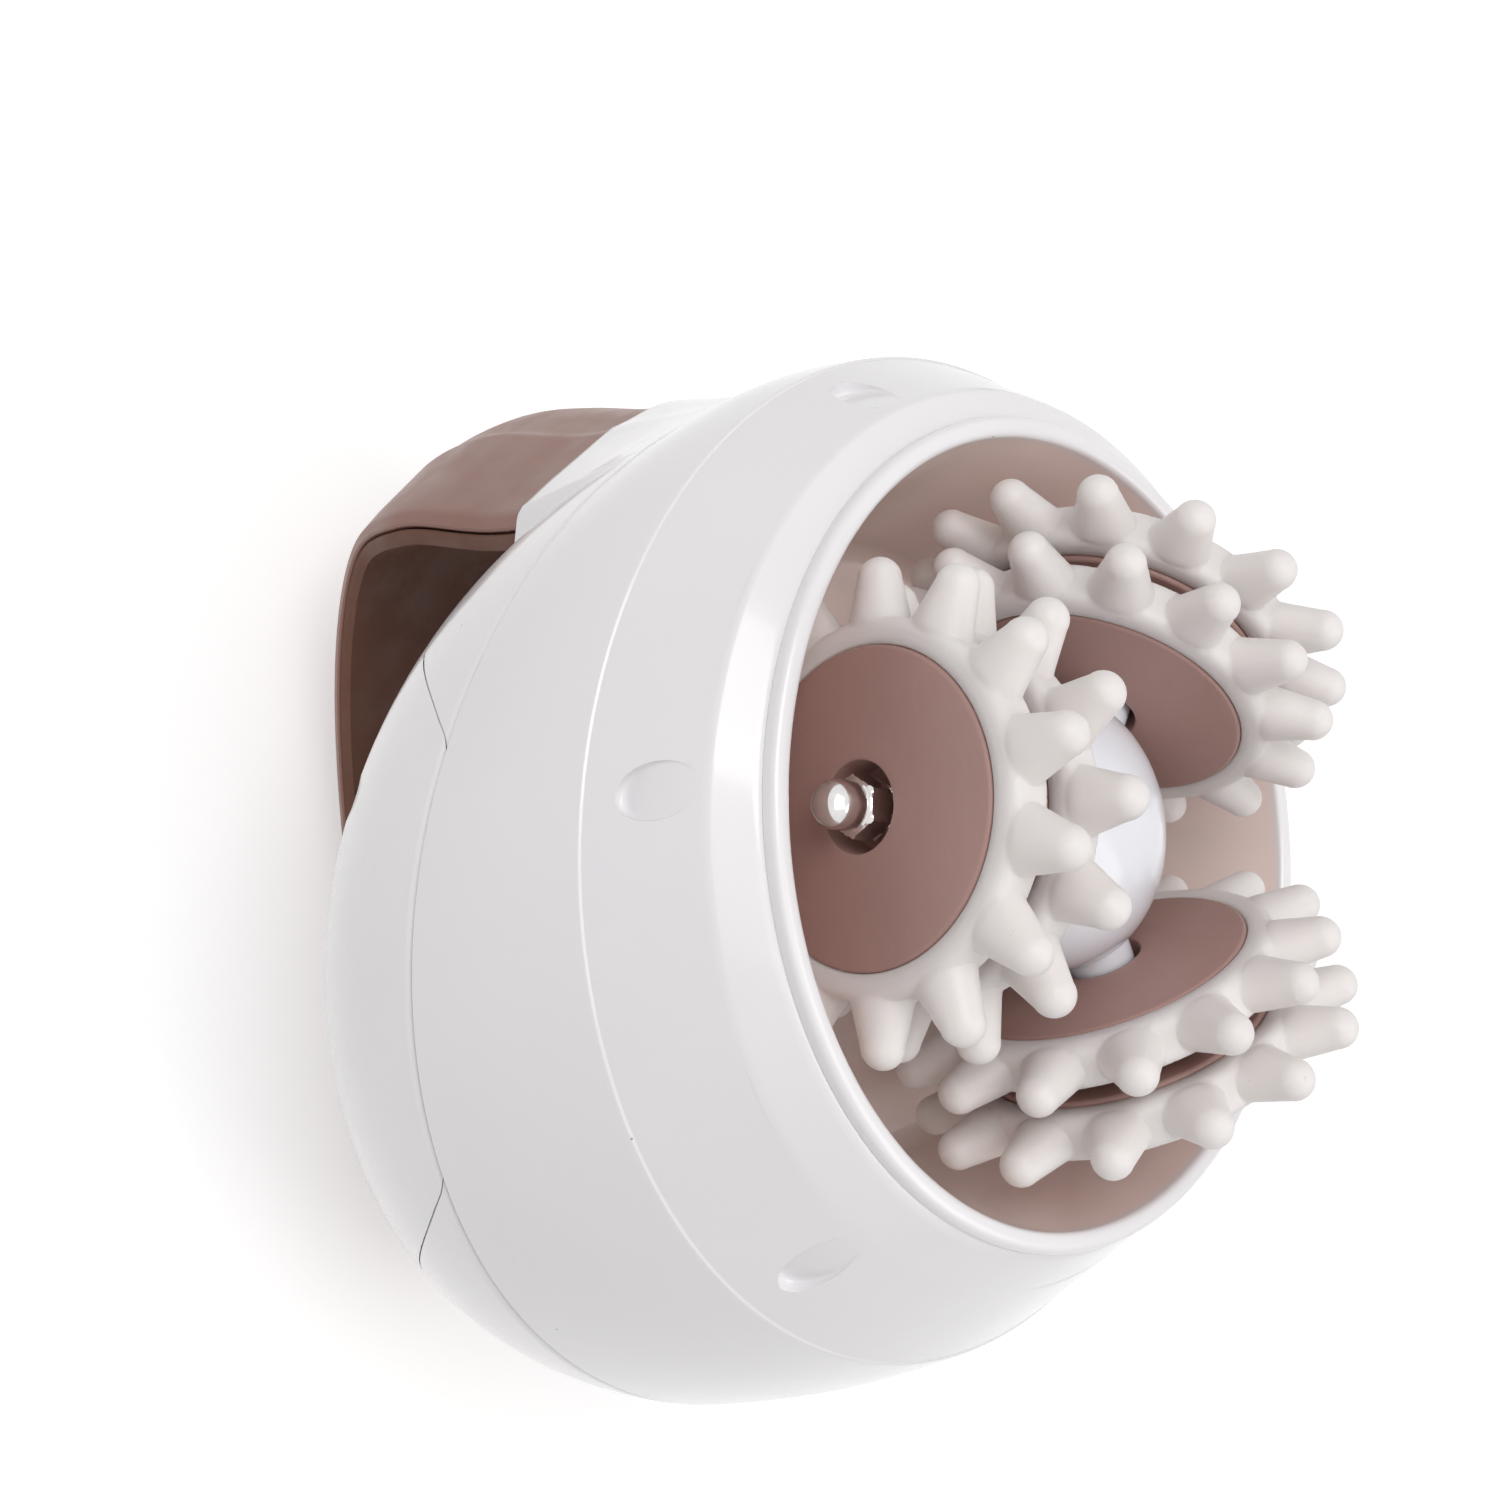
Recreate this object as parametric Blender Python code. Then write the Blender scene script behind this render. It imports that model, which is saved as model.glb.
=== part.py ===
"""Hand-held body massager with six studded rollers under a strap handle.

Metres, +Z up. The massager stands on the flat crown of its strap handle at z = 0, with the rollers on
top. X runs across the strap, Y along it, and the rotor turns about a vertical axis at y = ROTOR_Y.
"""
import math

import bmesh
import bpy
import numpy as np
from mathutils import Matrix

# Clearance between neighbouring pieces, how far a cutter runs past what it cuts, and the width under
# which the corners that a cut leaves are one
GAP = 0.0003
OVERRUN = 0.004
WELD = 0.000002

# Height of the rim plane over the handle's crown, and the rotor's place along the strap
RIM_HEIGHT = 0.1485
ROTOR_Y = -0.003

# Front housing: each ring has a drop below the rim, a shift from the rotor axis, a tilt and two half widths
LIP_DROP = 0.0018
LIP_RADIUS = 0.0562
SHOULDER_DROP = 0.0067
SHOULDER_SHIFT = 0.0005
SHOULDER_TILT = math.radians(2.6)
SHOULDER_RADIUS = 0.0607
RIDGE_DROP = 0.0217
RIDGE_SHIFT = 0.0025
RIDGE_TILT = math.radians(4.0)
SEAM_DROP = 0.0497
SEAM_SHIFT = 0.0082
SEAM_TILT = math.radians(11.5)
SEAM_HALF_X = 0.0739
SEAM_HALF_Y = 0.0765
RIDGE_STEP_X = 0.0057
RIDGE_STEP_Y = 0.0060
RIDGE_HALF_X = SEAM_HALF_X - RIDGE_STEP_X
RIDGE_HALF_Y = SEAM_HALF_Y - RIDGE_STEP_Y
BELLY_BULGE = 0.0010
BAND_SHARES = (0, 0.5)
BELLY_SHARES = (0, 0.33, 0.67, 1)
HOUSING_WALL = 0.0022
LIP_WALL = 0.0010
LIP_WALL_HEIGHT = 0.0020

# Six oval thumb recesses in the band between shoulder and ridge, bored square to the rotor axis
RECESS_COUNT = 6
RECESS_TURN = math.radians(-11)
RECESS_BAND_SHARE = 0.43
RECESS_HALF_HIGH = 0.0046
RECESS_HALF_WIDE = 0.0035
RECESS_SHALLOW = 0.0004
RECESS_WALL = 0.0015

# Roller bowl
OPENING_RADIUS = 0.0530
LIP_ROUND = 0.0008
BOWL_DEPTH = 0.0390
BOWL_FLOOR_RADIUS = 0.0410
BOWL_FOOT_RADIUS = 0.0450
BOWL_FOOT_HEIGHT = 0.0040
BOWL_WALL = 0.0020
BOWL_POST_RADIUS = 0.0040
BOWL_POST_CIRCLE = 0.0340

# Rear dome behind the seam
DOME_DEPTH = 0.0550
DOME_POWER = 2.5
DOME_LEAN = 0.0120
DOME_APEX_TURN = math.radians(86)
SEAM_BEVEL = 0.0009
SEAM_BEVEL_DEPTH = 0.0012

# Handle collars: crescents that share the dome's surface, with a lug that carries the strap
COLLAR_MARGIN = 0.0064
COLLAR_HALF_WIDTH = SEAM_HALF_X - COLLAR_MARGIN
COLLAR_DEPTH = 0.0280
COLLAR_INNER_Y = 0.0200
LUG_DEPTH = 0.0240
LUG_HALF_WIDTH = 0.0380
LUG_ROUND = 0.0020
LUG_RISE_UPPER = 0.0003
LUG_RISE_LOWER = 0.0047
LUG_HEIGHT = 0.0365
LUG_CROWN_UPPER = SEAM_HALF_Y + LUG_RISE_UPPER
LUG_CROWN_LOWER = SEAM_HALF_Y + LUG_RISE_LOWER
LUG_FOOT = SEAM_HALF_Y - LUG_HEIGHT

# Strap handle: crown line of its arch, then its section
STRAP_MIDDLE_Z = 0.0505
STRAP_STAND = 0.0040
STRAP_HALF_SPAN = SEAM_HALF_Y + STRAP_STAND
STRAP_CROWN_CUT = 0.0015
STRAP_RISE = STRAP_MIDDLE_Z + STRAP_CROWN_CUT
STRAP_POWER = 2.6
STRAP_LEAN = 0.009633
STRAP_ROOT_RUN = 0.0037
STRAP_ROOT_LENGTH = RIM_HEIGHT - SEAM_DROP - STRAP_MIDDLE_Z + STRAP_ROOT_RUN
STRAP_ROOT_SHARES = (1.0, 0.66, 0.33)
STRAP_ROOT_LOWER_SHARES = (1.0, 0.254, 0.127)
STRAP_HALF_WIDTH = 0.0350
STRAP_EDGE_DROP = 0.0240
STRAP_MIDDLE_DEPTH = 0.0140
STRAP_SKIN = 0.0026
GRIP_THICKNESS = 0.0030
STRAP_CROWN_WIDTH_SHARE = 0.78
STRAP_CROWN_DEPTH_SHARE = 0.85
# Outer line from the crown to the side: shares of the half width, then of the edge's drop
STRAP_LINE_SHARES = ((0.0, 0.0), (0.25, 0.03), (0.50, 0.12), (0.72, 0.29), (0.94, 0.71), (1.0, 1.0))
GRIP_LINE_SHARES = (0.0, 0.4, 0.75)

# Handle screws, which run outwards from inside the dome into bosses of the strap
HANDLE_SCREW_BACK = 0.0085
HANDLE_SCREW_DEPTH = LUG_DEPTH + HANDLE_SCREW_BACK
HANDLE_SCREW_X = 0.0140
STRAP_BOSS_RADIUS = 0.0038
HANDLE_SCREW_CLEARANCE = 0.0015
HANDLE_SCREW_BITE = 0.0040

# Screws
SCREW_RADIUS = 0.0015
SCREW_HEAD_RADIUS = 0.0030
SCREW_HEAD_HEIGHT = 0.0020
SCREW_BOSS_RADIUS = 0.0046
HOUSING_SCREW_MARGIN = 0.0084
HOUSING_SCREW_CIRCLE = SEAM_HALF_X - HOUSING_SCREW_MARGIN
HOUSING_SCREW_TURN = math.radians(16)
HOUSING_BOSS_LENGTH = 0.0150
HOUSING_BOSS_WEB = 0.0020
HOUSING_SCREW_BITE = 0.0100
HOUSING_SCREW_SEAT = 0.0035
PLATE_SCREW_BITE = 0.0090

# Gear case: levels are drops below the rim
PLATE_DROP = 0.0603
PLATE_THICKNESS = 0.0027
PLATE_RADIUS = 0.0420
SHAFT_RADIUS = 0.0040
SHAFT_END_RADIUS = 0.0030
SHAFT_TOP_DROP = 0.0140
BEARING_RADIUS = 0.0078
BEARING_HEIGHT = 0.0050
LOWER_BEARING_RADIUS = 0.0063
LOWER_BEARING_RISE = 0.0034
BEARING_BOSS_WALL = 0.0022
BEARING_SHOULDER = 0.0010

# Gear train
DRIVE_TEETH = 32
PINION_TEETH = 8
WHEEL_TEETH = 24
DRIVE_PITCH_RADIUS = 0.0240
PINION_PITCH_RADIUS = 0.0060
WHEEL_PITCH_RADIUS = 0.0180
TOOTH_RISE = 0.0009
TOOTH_ROOT = 0.0013
TOOTH_ROOT_SHARE = 0.29
TOOTH_TIP_SHARE = 0.12
DRIVE_GEAR_DROP = 0.0490
DRIVE_GEAR_WIDTH = 0.0060
GEAR_HUB_RADIUS = 0.0070
GEAR_HUB_RISE = 0.0010
WHEEL_GEAR_WIDTH = 0.0030
GEAR_PIN_RADIUS = 0.0015
GEAR_PIN_BOSS_RADIUS = 0.0040
GEAR_PIN_BOSS_LENGTH = 0.0050
COMPOUND_TURN = math.radians(30)
MOTOR_TURN = math.radians(164)

# Motor under the plate
MOTOR_RADIUS = 0.0140
MOTOR_LENGTH = 0.0330
MOTOR_BOSS_RADIUS = 0.0034
MOTOR_BOSS_LENGTH = 0.0020
MOTOR_SHAFT_RADIUS = 0.0011
MOTOR_BORE_DEPTH = 0.0080
MOTOR_CHAMFER = 0.0012

# Circuit board on two standoffs under the plate
BOARD_LENGTH = 0.0340
BOARD_WIDTH = 0.0200
BOARD_THICKNESS = 0.0016
BOARD_X = -0.0140
BOARD_Y = -0.0100
STANDOFF_RADIUS = 0.0025
STANDOFF_LENGTH = 0.0040
STANDOFF_SPREAD = 0.0120
CHIP_LENGTH = 0.0090
CHIP_WIDTH = 0.0060
CHIP_HEIGHT = 0.0022
CHIP_SPREAD = 0.0090

# Power inlet and rocker switch on the side of the dome, each at a depth behind the seam
INLET_DEPTH = 0.0185
INLET_RADIUS = 0.0052
INLET_LENGTH = 0.0120
INLET_PROUD = 0.0006
INLET_BORE_RADIUS = 0.0030
INLET_BORE_DEPTH = 0.0090
INLET_PIN_RADIUS = 0.0011
INLET_PIN_SHORT = 0.0015
SWITCH_DEPTH = 0.0330
SWITCH_LENGTH = 0.0210
SWITCH_WIDTH = 0.0130
SWITCH_HEIGHT = 0.0130
SWITCH_PROUD = 0.0010
SWITCH_WINDOW_LENGTH = 0.0164
SWITCH_WINDOW_WIDTH = 0.0092
SWITCH_WINDOW_DEPTH = 0.0085
ROCKER_LENGTH = 0.0142
ROCKER_WIDTH = 0.0084
ROCKER_PIVOT_SINK = 0.0025
ROCKER_HEEL = 0.0048
ROCKER_HEEL_TURN = math.radians(35)
ROCKER_TILT = math.radians(8)
ROCKER_END_RISE = 0.0034
ROCKER_MIDDLE_RISE = 0.0022

# Rotor: hub, three arms at equal turns, two rollers on each arm
ARM_COUNT = 3
ROTOR_TURN = math.radians(-9.35)
AXLE_DROP = 0.00305
HUB_RADIUS = 0.0190
HUB_CAP_RISE = 0.0125
HUB_APEX_TURN = math.radians(84)
HUB_BASE_DEPTH = 0.0170
HUB_STEM_RADIUS = 0.0090
HUB_FLOOR_CLEARANCE = 0.0012
SLEEVE_RADIUS = 0.0046
SLEEVE_SEAT = 0.0175
SLEEVE_IN_ROLLER = 0.0030
AXLE_RADIUS = 0.0020
AXLE_START = 0.0040
AXLE_IN_NUT = 0.0075
ROLLER_START = 0.02085
ROLLER_WIDTH = 0.0075
ROLLER_SPACING = 0.00935
CORE_RADIUS = 0.0201
CORE_RECESS_RADIUS = 0.0058
CORE_RECESS_DEPTH = 0.0050
TYRE_RADIUS = 0.0238
SPACER_RADIUS = 0.0040
NUB_COUNT = 14
NUB_TIP_RADIUS = 0.0319
NUB_BASE_HALF = 0.0035
NUB_TIP_HALF = 0.0019
NUB_SINK = 0.0008
NUT_HALF_FLATS = 0.0035
NUT_HEX_HEIGHT = 0.0070
NUT_COLLAR_HEIGHT = 0.0024
NUT_DOME_RADIUS = 0.0031
NUT_DOME_HEIGHT = 0.0034
NUT_APEX_TURN = math.radians(75)
NUT_BORE_RUN = 0.0018

# Facets of round pieces, and the turn between faces from which an edge is shaded sharp
SHADE_TURN = math.radians(32)
HOUSING_SIDES = 36
ROUND_SIDES = 20
SMALL_SIDES = 10
NUB_SIDES = 6
DOME_RINGS = 6
HUB_RINGS = 6
STRAP_STATIONS = 13

ARM_STEP = 2 * math.pi / ARM_COUNT
NUB_STEP = 2 * math.pi / NUB_COUNT
SEAM_FRAME = (Matrix.Translation((0, ROTOR_Y + SEAM_SHIFT, RIM_HEIGHT - SEAM_DROP))
              @ Matrix.Rotation(-SEAM_TILT, 4, "X"))
ROTOR_FRAME = Matrix.Translation((0, ROTOR_Y, RIM_HEIGHT))


# Scene and materials

def clear_scene():
    """Remove every object, mesh and material that the file starts with."""
    for store in (bpy.data.objects, bpy.data.meshes, bpy.data.materials):
        for item in list(store):
            store.remove(item)


def finish(name, color, roughness, metallic=0.0):
    """One Principled material."""
    material = bpy.data.materials.new(name)
    material.use_nodes = True
    shader = material.node_tree.nodes["Principled BSDF"]
    shader.inputs["Base Color"].default_value = (*color, 1.0)
    shader.inputs["Roughness"].default_value = roughness
    shader.inputs["Metallic"].default_value = metallic
    return material


# Meshes

def add_object(name, mesh, place=None):
    """Link a mesh to the scene under a name, at a place given by a matrix."""
    thing = bpy.data.objects.new(name, mesh)
    bpy.context.scene.collection.objects.link(thing)
    if place is not None:
        thing.matrix_world = place
    bpy.context.view_layer.update()
    return thing


def skin(name, rings, place=None, wrap=False):
    """Join rings of points into a closed body: flat ends, or the last ring joined to the first."""
    rings = np.asarray(rings, float)
    count, sides = rings.shape[:2]
    faces = []
    for i in range(count if wrap else count - 1):
        here, there = i * sides, (i + 1) % count * sides
        for j in range(sides):
            k = (j + 1) % sides
            faces.append((here + j, here + k, there + k, there + j))
    if not wrap:
        faces.append(tuple(range(sides)))
        faces.append(tuple(range((count - 1) * sides, count * sides)))
    mesh = bpy.data.meshes.new(name)
    mesh.from_pydata(rings.reshape(-1, 3).tolist(), [], faces)
    work = bmesh.new()
    work.from_mesh(mesh)
    bmesh.ops.recalc_face_normals(work, faces=work.faces)
    work.to_mesh(mesh)
    work.free()
    return add_object(name, mesh, place)


def turned(name, profile, place=None, sides=ROUND_SIDES, wrap=False):
    """Turn a profile of radius and height about Z. A wrapped profile is a loop round a bore."""
    turn = np.linspace(0, 2 * math.pi, sides, endpoint=False)
    rings = [np.stack([r * np.cos(turn), r * np.sin(turn), np.full(sides, z)], 1) for r, z in profile]
    return skin(name, rings, place, wrap)


def rod(name, radius, low, high, place=None, sides=SMALL_SIDES):
    """A plain cylinder along Z from low to high."""
    return turned(name, ((radius, low), (radius, high)), place, sides)


def tube(name, bore, radius, low, high, place=None, sides=SMALL_SIDES):
    """A plain ring along Z."""
    profile = ((bore, low), (radius, low), (radius, high), (bore, high))
    return turned(name, profile, place, sides, wrap=True)


def prism(name, outline, low, high, place=None):
    """An outline in XY carried along Z from low to high."""
    flat = np.asarray(outline, float)
    rings = [np.column_stack([flat, np.full(len(flat), z)]) for z in (low, high)]
    return skin(name, rings, place)


def block(name, size, centre, place=None):
    """A box of a size about a centre."""
    half_x, half_y = size[0] / 2, size[1] / 2
    outline = [(centre[0] + sx * half_x, centre[1] + sy * half_y)
               for sx, sy in ((-1, -1), (1, -1), (1, 1), (-1, 1))]
    return prism(name, outline, centre[2] - size[2] / 2, centre[2] + size[2] / 2, place)


def boolean(thing, tool, operation="DIFFERENCE"):
    """Cut, join or intersect with a tool, and drop the tool."""
    step = thing.modifiers.new(operation.lower(), "BOOLEAN")
    step.operation = operation
    step.object = tool
    bpy.context.view_layer.update()
    solid = bpy.data.meshes.new_from_object(thing.evaluated_get(bpy.context.evaluated_depsgraph_get()))
    work = bmesh.new()
    work.from_mesh(solid)
    bmesh.ops.remove_doubles(work, verts=work.verts, dist=WELD)
    work.to_mesh(solid)
    work.free()
    thing.modifiers.clear()
    thing.data = solid
    bpy.data.objects.remove(tool)
    return thing


def dress(thing, material):
    """Give a piece its material and shade its round faces smooth."""
    thing.data.materials.clear()
    thing.data.materials.append(material)
    thing.data.shade_smooth()
    thing.data.set_sharp_from_angle(angle=SHADE_TURN)
    return thing


def attach(thing, parent):
    """Parent without moving."""
    place = thing.matrix_world.copy()
    thing.parent = parent
    thing.matrix_parent_inverse = parent.matrix_world.inverted()
    thing.matrix_world = place


# Housing surfaces

def tilted_ring(drop, shift, tilt, half_x, half_y, sides=HOUSING_SIDES):
    """Points of a tilted oval round the rotor: its +Y side lies further back."""
    turn = np.linspace(0, 2 * math.pi, sides, endpoint=False)
    across = half_y * np.sin(turn)
    return np.stack([half_x * np.cos(turn), shift + across * math.cos(tilt),
                     -drop - across * math.sin(tilt)], 1)


def between(first, second, share):
    """A value part of the way from the first to the second."""
    return first + (second - first) * share


def front_rings(inset):
    """Rings of the front housing from shoulder to seam, moved inwards by an inset."""
    shoulder = (SHOULDER_DROP, SHOULDER_SHIFT, SHOULDER_TILT, SHOULDER_RADIUS, SHOULDER_RADIUS)
    ridge = (RIDGE_DROP, RIDGE_SHIFT, RIDGE_TILT, RIDGE_HALF_X, RIDGE_HALF_Y)
    seam = (SEAM_DROP - GAP / 2, SEAM_SHIFT, SEAM_TILT, SEAM_HALF_X, SEAM_HALF_Y)
    rings = []
    for start, end, bulge, shares in ((shoulder, ridge, 0, BAND_SHARES),
                                      (ridge, seam, BELLY_BULGE, BELLY_SHARES)):
        for share in shares:
            drop, shift, tilt, half_x, half_y = (between(a, b, share) for a, b in zip(start, end))
            swell = bulge * math.sin(math.pi * share) - inset
            rings.append(tilted_ring(drop, shift, tilt, half_x + swell, half_y + swell))
    return rings


def front_solid(name, inset=0.0):
    """The closed outer form of the front housing, for trimming what is inside it."""
    top = tilted_ring(LIP_DROP + GAP, 0, 0, LIP_RADIUS - inset, LIP_RADIUS - inset)
    return skin(name, [top] + front_rings(inset), ROTOR_FRAME)


def dome_share(depth, deep=DOME_DEPTH):
    """Share of the seam's half widths that the dome keeps at a depth behind the seam."""
    return (1 - (max(depth, 0) / deep) ** DOME_POWER) ** (1 / DOME_POWER)


def dome_fall(depth, half_width):
    """How much nearer to its middle the dome comes for each step back at a depth."""
    steep = dome_share(depth) ** (1 - DOME_POWER) * (depth / DOME_DEPTH) ** (DOME_POWER - 1)
    return steep * half_width / DOME_DEPTH


def dome_lean(depth):
    """Shift of the dome's middle towards +Y at a depth behind the seam."""
    return DOME_LEAN * depth / DOME_DEPTH


def dome_rings(inset, start, bevel, grow=0.0):
    """Rings of the rear dome in the seam frame, from the seam (z = -start) to near the apex."""
    turn = np.linspace(0, 2 * math.pi, HOUSING_SIDES, endpoint=False)
    half_x, half_y = SEAM_HALF_X - inset + grow, SEAM_HALF_Y - inset + grow
    deep = DOME_DEPTH - inset + grow

    def ring(depth, shrink):
        share = dome_share(depth, deep)
        return np.stack([(half_x - shrink) * share * np.cos(turn),
                         dome_lean(depth) + (half_y - shrink) * share * np.sin(turn),
                         np.full(HOUSING_SIDES, -depth)], 1)

    rings = [ring(start, bevel)]
    first = math.asin((max(start, SEAM_BEVEL_DEPTH) / deep) ** (DOME_POWER / 2))
    for turn_back in np.linspace(first, DOME_APEX_TURN, DOME_RINGS + 1):
        rings.append(ring(deep * math.sin(turn_back) ** (2 / DOME_POWER), 0))
    return rings


def dome_solid(name, inset=0.0, start=GAP / 2, bevel=0.0, grow=0.0):
    """The closed form of the rear dome."""
    return skin(name, dome_rings(inset, start, bevel, grow), SEAM_FRAME)


def dome_shell(name):
    """The dome as one wall, open towards the seam."""
    outer = dome_rings(0.0, GAP / 2, SEAM_BEVEL)
    inner = dome_rings(HOUSING_WALL, GAP / 2, 0.0)
    shell = skin(name, outer, SEAM_FRAME)
    hollow = skin(name + "_hollow", [inner[0] + (0, 0, OVERRUN)] + inner, SEAM_FRAME)
    return boolean(shell, hollow)


# Casings

def make_front_housing(white):
    """Wide ring of the body, with six oval recesses and four screw bosses inside."""
    top = tilted_ring(LIP_DROP + GAP, 0, 0, LIP_RADIUS, LIP_RADIUS)
    inner_top = tilted_ring(LIP_DROP + GAP, 0, 0, LIP_RADIUS - LIP_WALL, LIP_RADIUS - LIP_WALL)
    inner_low = inner_top - (0, 0, LIP_WALL_HEIGHT)
    rings = [top] + front_rings(0.0) + front_rings(HOUSING_WALL)[::-1] + [inner_low, inner_top]
    housing = skin("front_housing", rings, ROTOR_FRAME, wrap=True)
    for turn in recess_turns():
        backing = oval("backing", RECESS_HALF_HIGH + RECESS_WALL, RECESS_HALF_WIDE + RECESS_WALL,
                       OVERRUN + RECESS_HALF_WIDE, recess_frame(turn, RECESS_WALL))
        boolean(backing, front_solid("outside", GAP), "INTERSECT")
        boolean(housing, backing, "UNION")
    for turn in recess_turns():
        boolean(housing, oval("recess", RECESS_HALF_HIGH, RECESS_HALF_WIDE,
                              2 * (OVERRUN + RECESS_HALF_WIDE), recess_frame(turn, 0)))
    for x, y in housing_screw_places():
        place = SEAM_FRAME @ Matrix.Translation((x, y, GAP / 2))
        boss = rod("boss", SCREW_BOSS_RADIUS, 0, HOUSING_BOSS_LENGTH, place)
        web = (SEAM_HALF_X, HOUSING_BOSS_WEB, HOUSING_BOSS_LENGTH - HOUSING_BOSS_WEB)
        centre = (math.copysign(SEAM_HALF_X / 2, x), 0, HOUSING_BOSS_LENGTH / 2)
        boolean(boss, block("web", web, centre, place), "UNION")
        boolean(boss, front_solid("outside", GAP), "INTERSECT")
        boolean(housing, boss, "UNION")
        boolean(housing, rod("bore", SCREW_RADIUS + GAP, -OVERRUN, HOUSING_SCREW_BITE + GAP, place))
    return dress(housing, white)


def recess_turns():
    """Turns about the rotor axis at which the recesses sit."""
    return [RECESS_TURN + k * 2 * math.pi / RECESS_COUNT for k in range(RECESS_COUNT)]


def recess_frame(turn, deeper):
    """Frame at a recess's floor with Z pointing outwards, square to the rotor axis."""
    rise = RIDGE_DROP - SHOULDER_DROP
    slope = math.hypot(rise, RIDGE_HALF_X - SHOULDER_RADIUS)
    near_rim = RECESS_BAND_SHARE - RECESS_HALF_HIGH / slope
    drop = between(SHOULDER_DROP, RIDGE_DROP, RECESS_BAND_SHARE)
    half_x = between(SHOULDER_RADIUS, RIDGE_HALF_X, near_rim)
    half_y = between(SHOULDER_RADIUS, RIDGE_HALF_Y, near_rim)
    shift = between(SHOULDER_SHIFT, RIDGE_SHIFT, RECESS_BAND_SHARE)
    tilt = between(SHOULDER_TILT, RIDGE_TILT, RECESS_BAND_SHARE)
    reach = math.hypot(half_x * math.cos(turn), shift * math.sin(turn) + half_y * math.sin(turn))
    lower = drop + half_y * math.sin(turn) * math.sin(tilt)
    return (ROTOR_FRAME @ Matrix.Rotation(turn, 4, "Z")
            @ Matrix.Translation((reach - RECESS_SHALLOW - deeper, 0, -lower))
            @ Matrix.Rotation(math.pi / 2, 4, "Y"))


def oval(name, half_x, half_y, high, place):
    """An oval rod along Z from z = 0."""
    turn = np.linspace(0, 2 * math.pi, SMALL_SIDES, endpoint=False)
    return prism(name, np.column_stack([half_x * np.cos(turn), half_y * np.sin(turn)]), 0, high, place)


def housing_screw_places():
    """Places of the four housing screws in the seam frame."""
    turn = HOUSING_SCREW_TURN
    turns = (turn, -turn, math.pi - turn, math.pi + turn)
    return [(HOUSING_SCREW_CIRCLE * math.cos(t), HOUSING_SCREW_CIRCLE * math.sin(t)) for t in turns]


def plate_screw_places():
    """Places of the three plate screws, clear of the gears."""
    turns = [COMPOUND_TURN + math.pi / 2 + k * math.pi / 2 for k in range(3)]
    return [(BOWL_POST_CIRCLE * math.cos(t), BOWL_POST_CIRCLE * math.sin(t)) for t in turns]


def compound_place():
    """Place of the compound gear's pin about the rotor axis."""
    reach = DRIVE_PITCH_RADIUS + PINION_PITCH_RADIUS
    return reach * math.cos(COMPOUND_TURN), reach * math.sin(COMPOUND_TURN)


def motor_place():
    """Place of the motor's shaft about the rotor axis."""
    x, y = compound_place()
    reach = WHEEL_PITCH_RADIUS + PINION_PITCH_RADIUS
    return x + reach * math.cos(MOTOR_TURN), y + reach * math.sin(MOTOR_TURN)


def make_roller_bowl(white):
    """Round well that the rollers turn in, with its lip, bearing boss and three posts."""
    floor = -BOWL_DEPTH
    under = floor - BOWL_WALL
    seat = BEARING_RADIUS + GAP
    seat_low = under - GAP - BEARING_HEIGHT
    bore = SHAFT_RADIUS + 2 * GAP
    inner_lip = OPENING_RADIUS + LIP_ROUND
    flange = LIP_RADIUS - GAP
    profile = (
        (flange, -LIP_DROP), (flange, -LIP_ROUND), (flange - LIP_ROUND, 0), (inner_lip, 0),
        (OPENING_RADIUS, -LIP_ROUND), (BOWL_FOOT_RADIUS, floor + BOWL_FOOT_HEIGHT),
        (BOWL_FLOOR_RADIUS, floor), (bore, floor), (bore, floor - BOWL_WALL / 2),
        (seat, floor - BOWL_WALL / 2), (seat, seat_low), (seat + BEARING_BOSS_WALL, seat_low),
        (seat + BEARING_BOSS_WALL, under), (BOWL_FLOOR_RADIUS + BOWL_WALL / 2, under),
        (BOWL_FOOT_RADIUS + BOWL_WALL, floor + BOWL_FOOT_HEIGHT - BOWL_WALL / 2),
        (OPENING_RADIUS + BOWL_WALL - LIP_ROUND, -LIP_DROP),
    )
    bowl = turned("roller_bowl", profile, ROTOR_FRAME, HOUSING_SIDES, wrap=True)
    post_low = -PLATE_DROP + GAP
    for x, y in plate_screw_places():
        place = ROTOR_FRAME @ Matrix.Translation((x, y, 0))
        boolean(bowl, rod("post", BOWL_POST_RADIUS, post_low, floor - BOWL_WALL / 2, place), "UNION")
        boolean(bowl, rod("bore", SCREW_RADIUS + GAP, post_low - OVERRUN,
                          post_low + PLATE_SCREW_BITE + GAP, place))
    pin = ROTOR_FRAME @ Matrix.Translation((*compound_place(), 0))
    boss_low = under - GEAR_PIN_BOSS_LENGTH
    boolean(bowl, rod("pin_boss", GEAR_PIN_BOSS_RADIUS, boss_low, floor - BOWL_WALL / 2, pin), "UNION")
    boolean(bowl, rod("pin_bore", GEAR_PIN_RADIUS + GAP, boss_low - OVERRUN, under, pin))
    return dress(bowl, white)


def collar_prism(name, side, grow):
    """Half oval prism along the seam frame's Y that marks out a collar on the dome."""
    turn = np.linspace(0, math.pi, ROUND_SIDES)
    half_x, deep = COLLAR_HALF_WIDTH + grow, COLLAR_DEPTH + grow
    outline = [(half_x * math.cos(t), -deep * math.sin(t)) for t in turn]
    outline += [(-half_x, OVERRUN), (half_x, OVERRUN)]
    start, end = side * (COLLAR_INNER_Y - grow), side * (SEAM_HALF_Y + DOME_LEAN + OVERRUN)
    rings = [[(x, y, z) for x, z in outline] for y in (start, end)]
    return skin(name, rings, SEAM_FRAME)


def lug_crown(side):
    """Height of a lug's crown over the seam's middle, along the seam frame's Y."""
    return LUG_CROWN_UPPER if side < 0 else LUG_CROWN_LOWER


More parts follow.
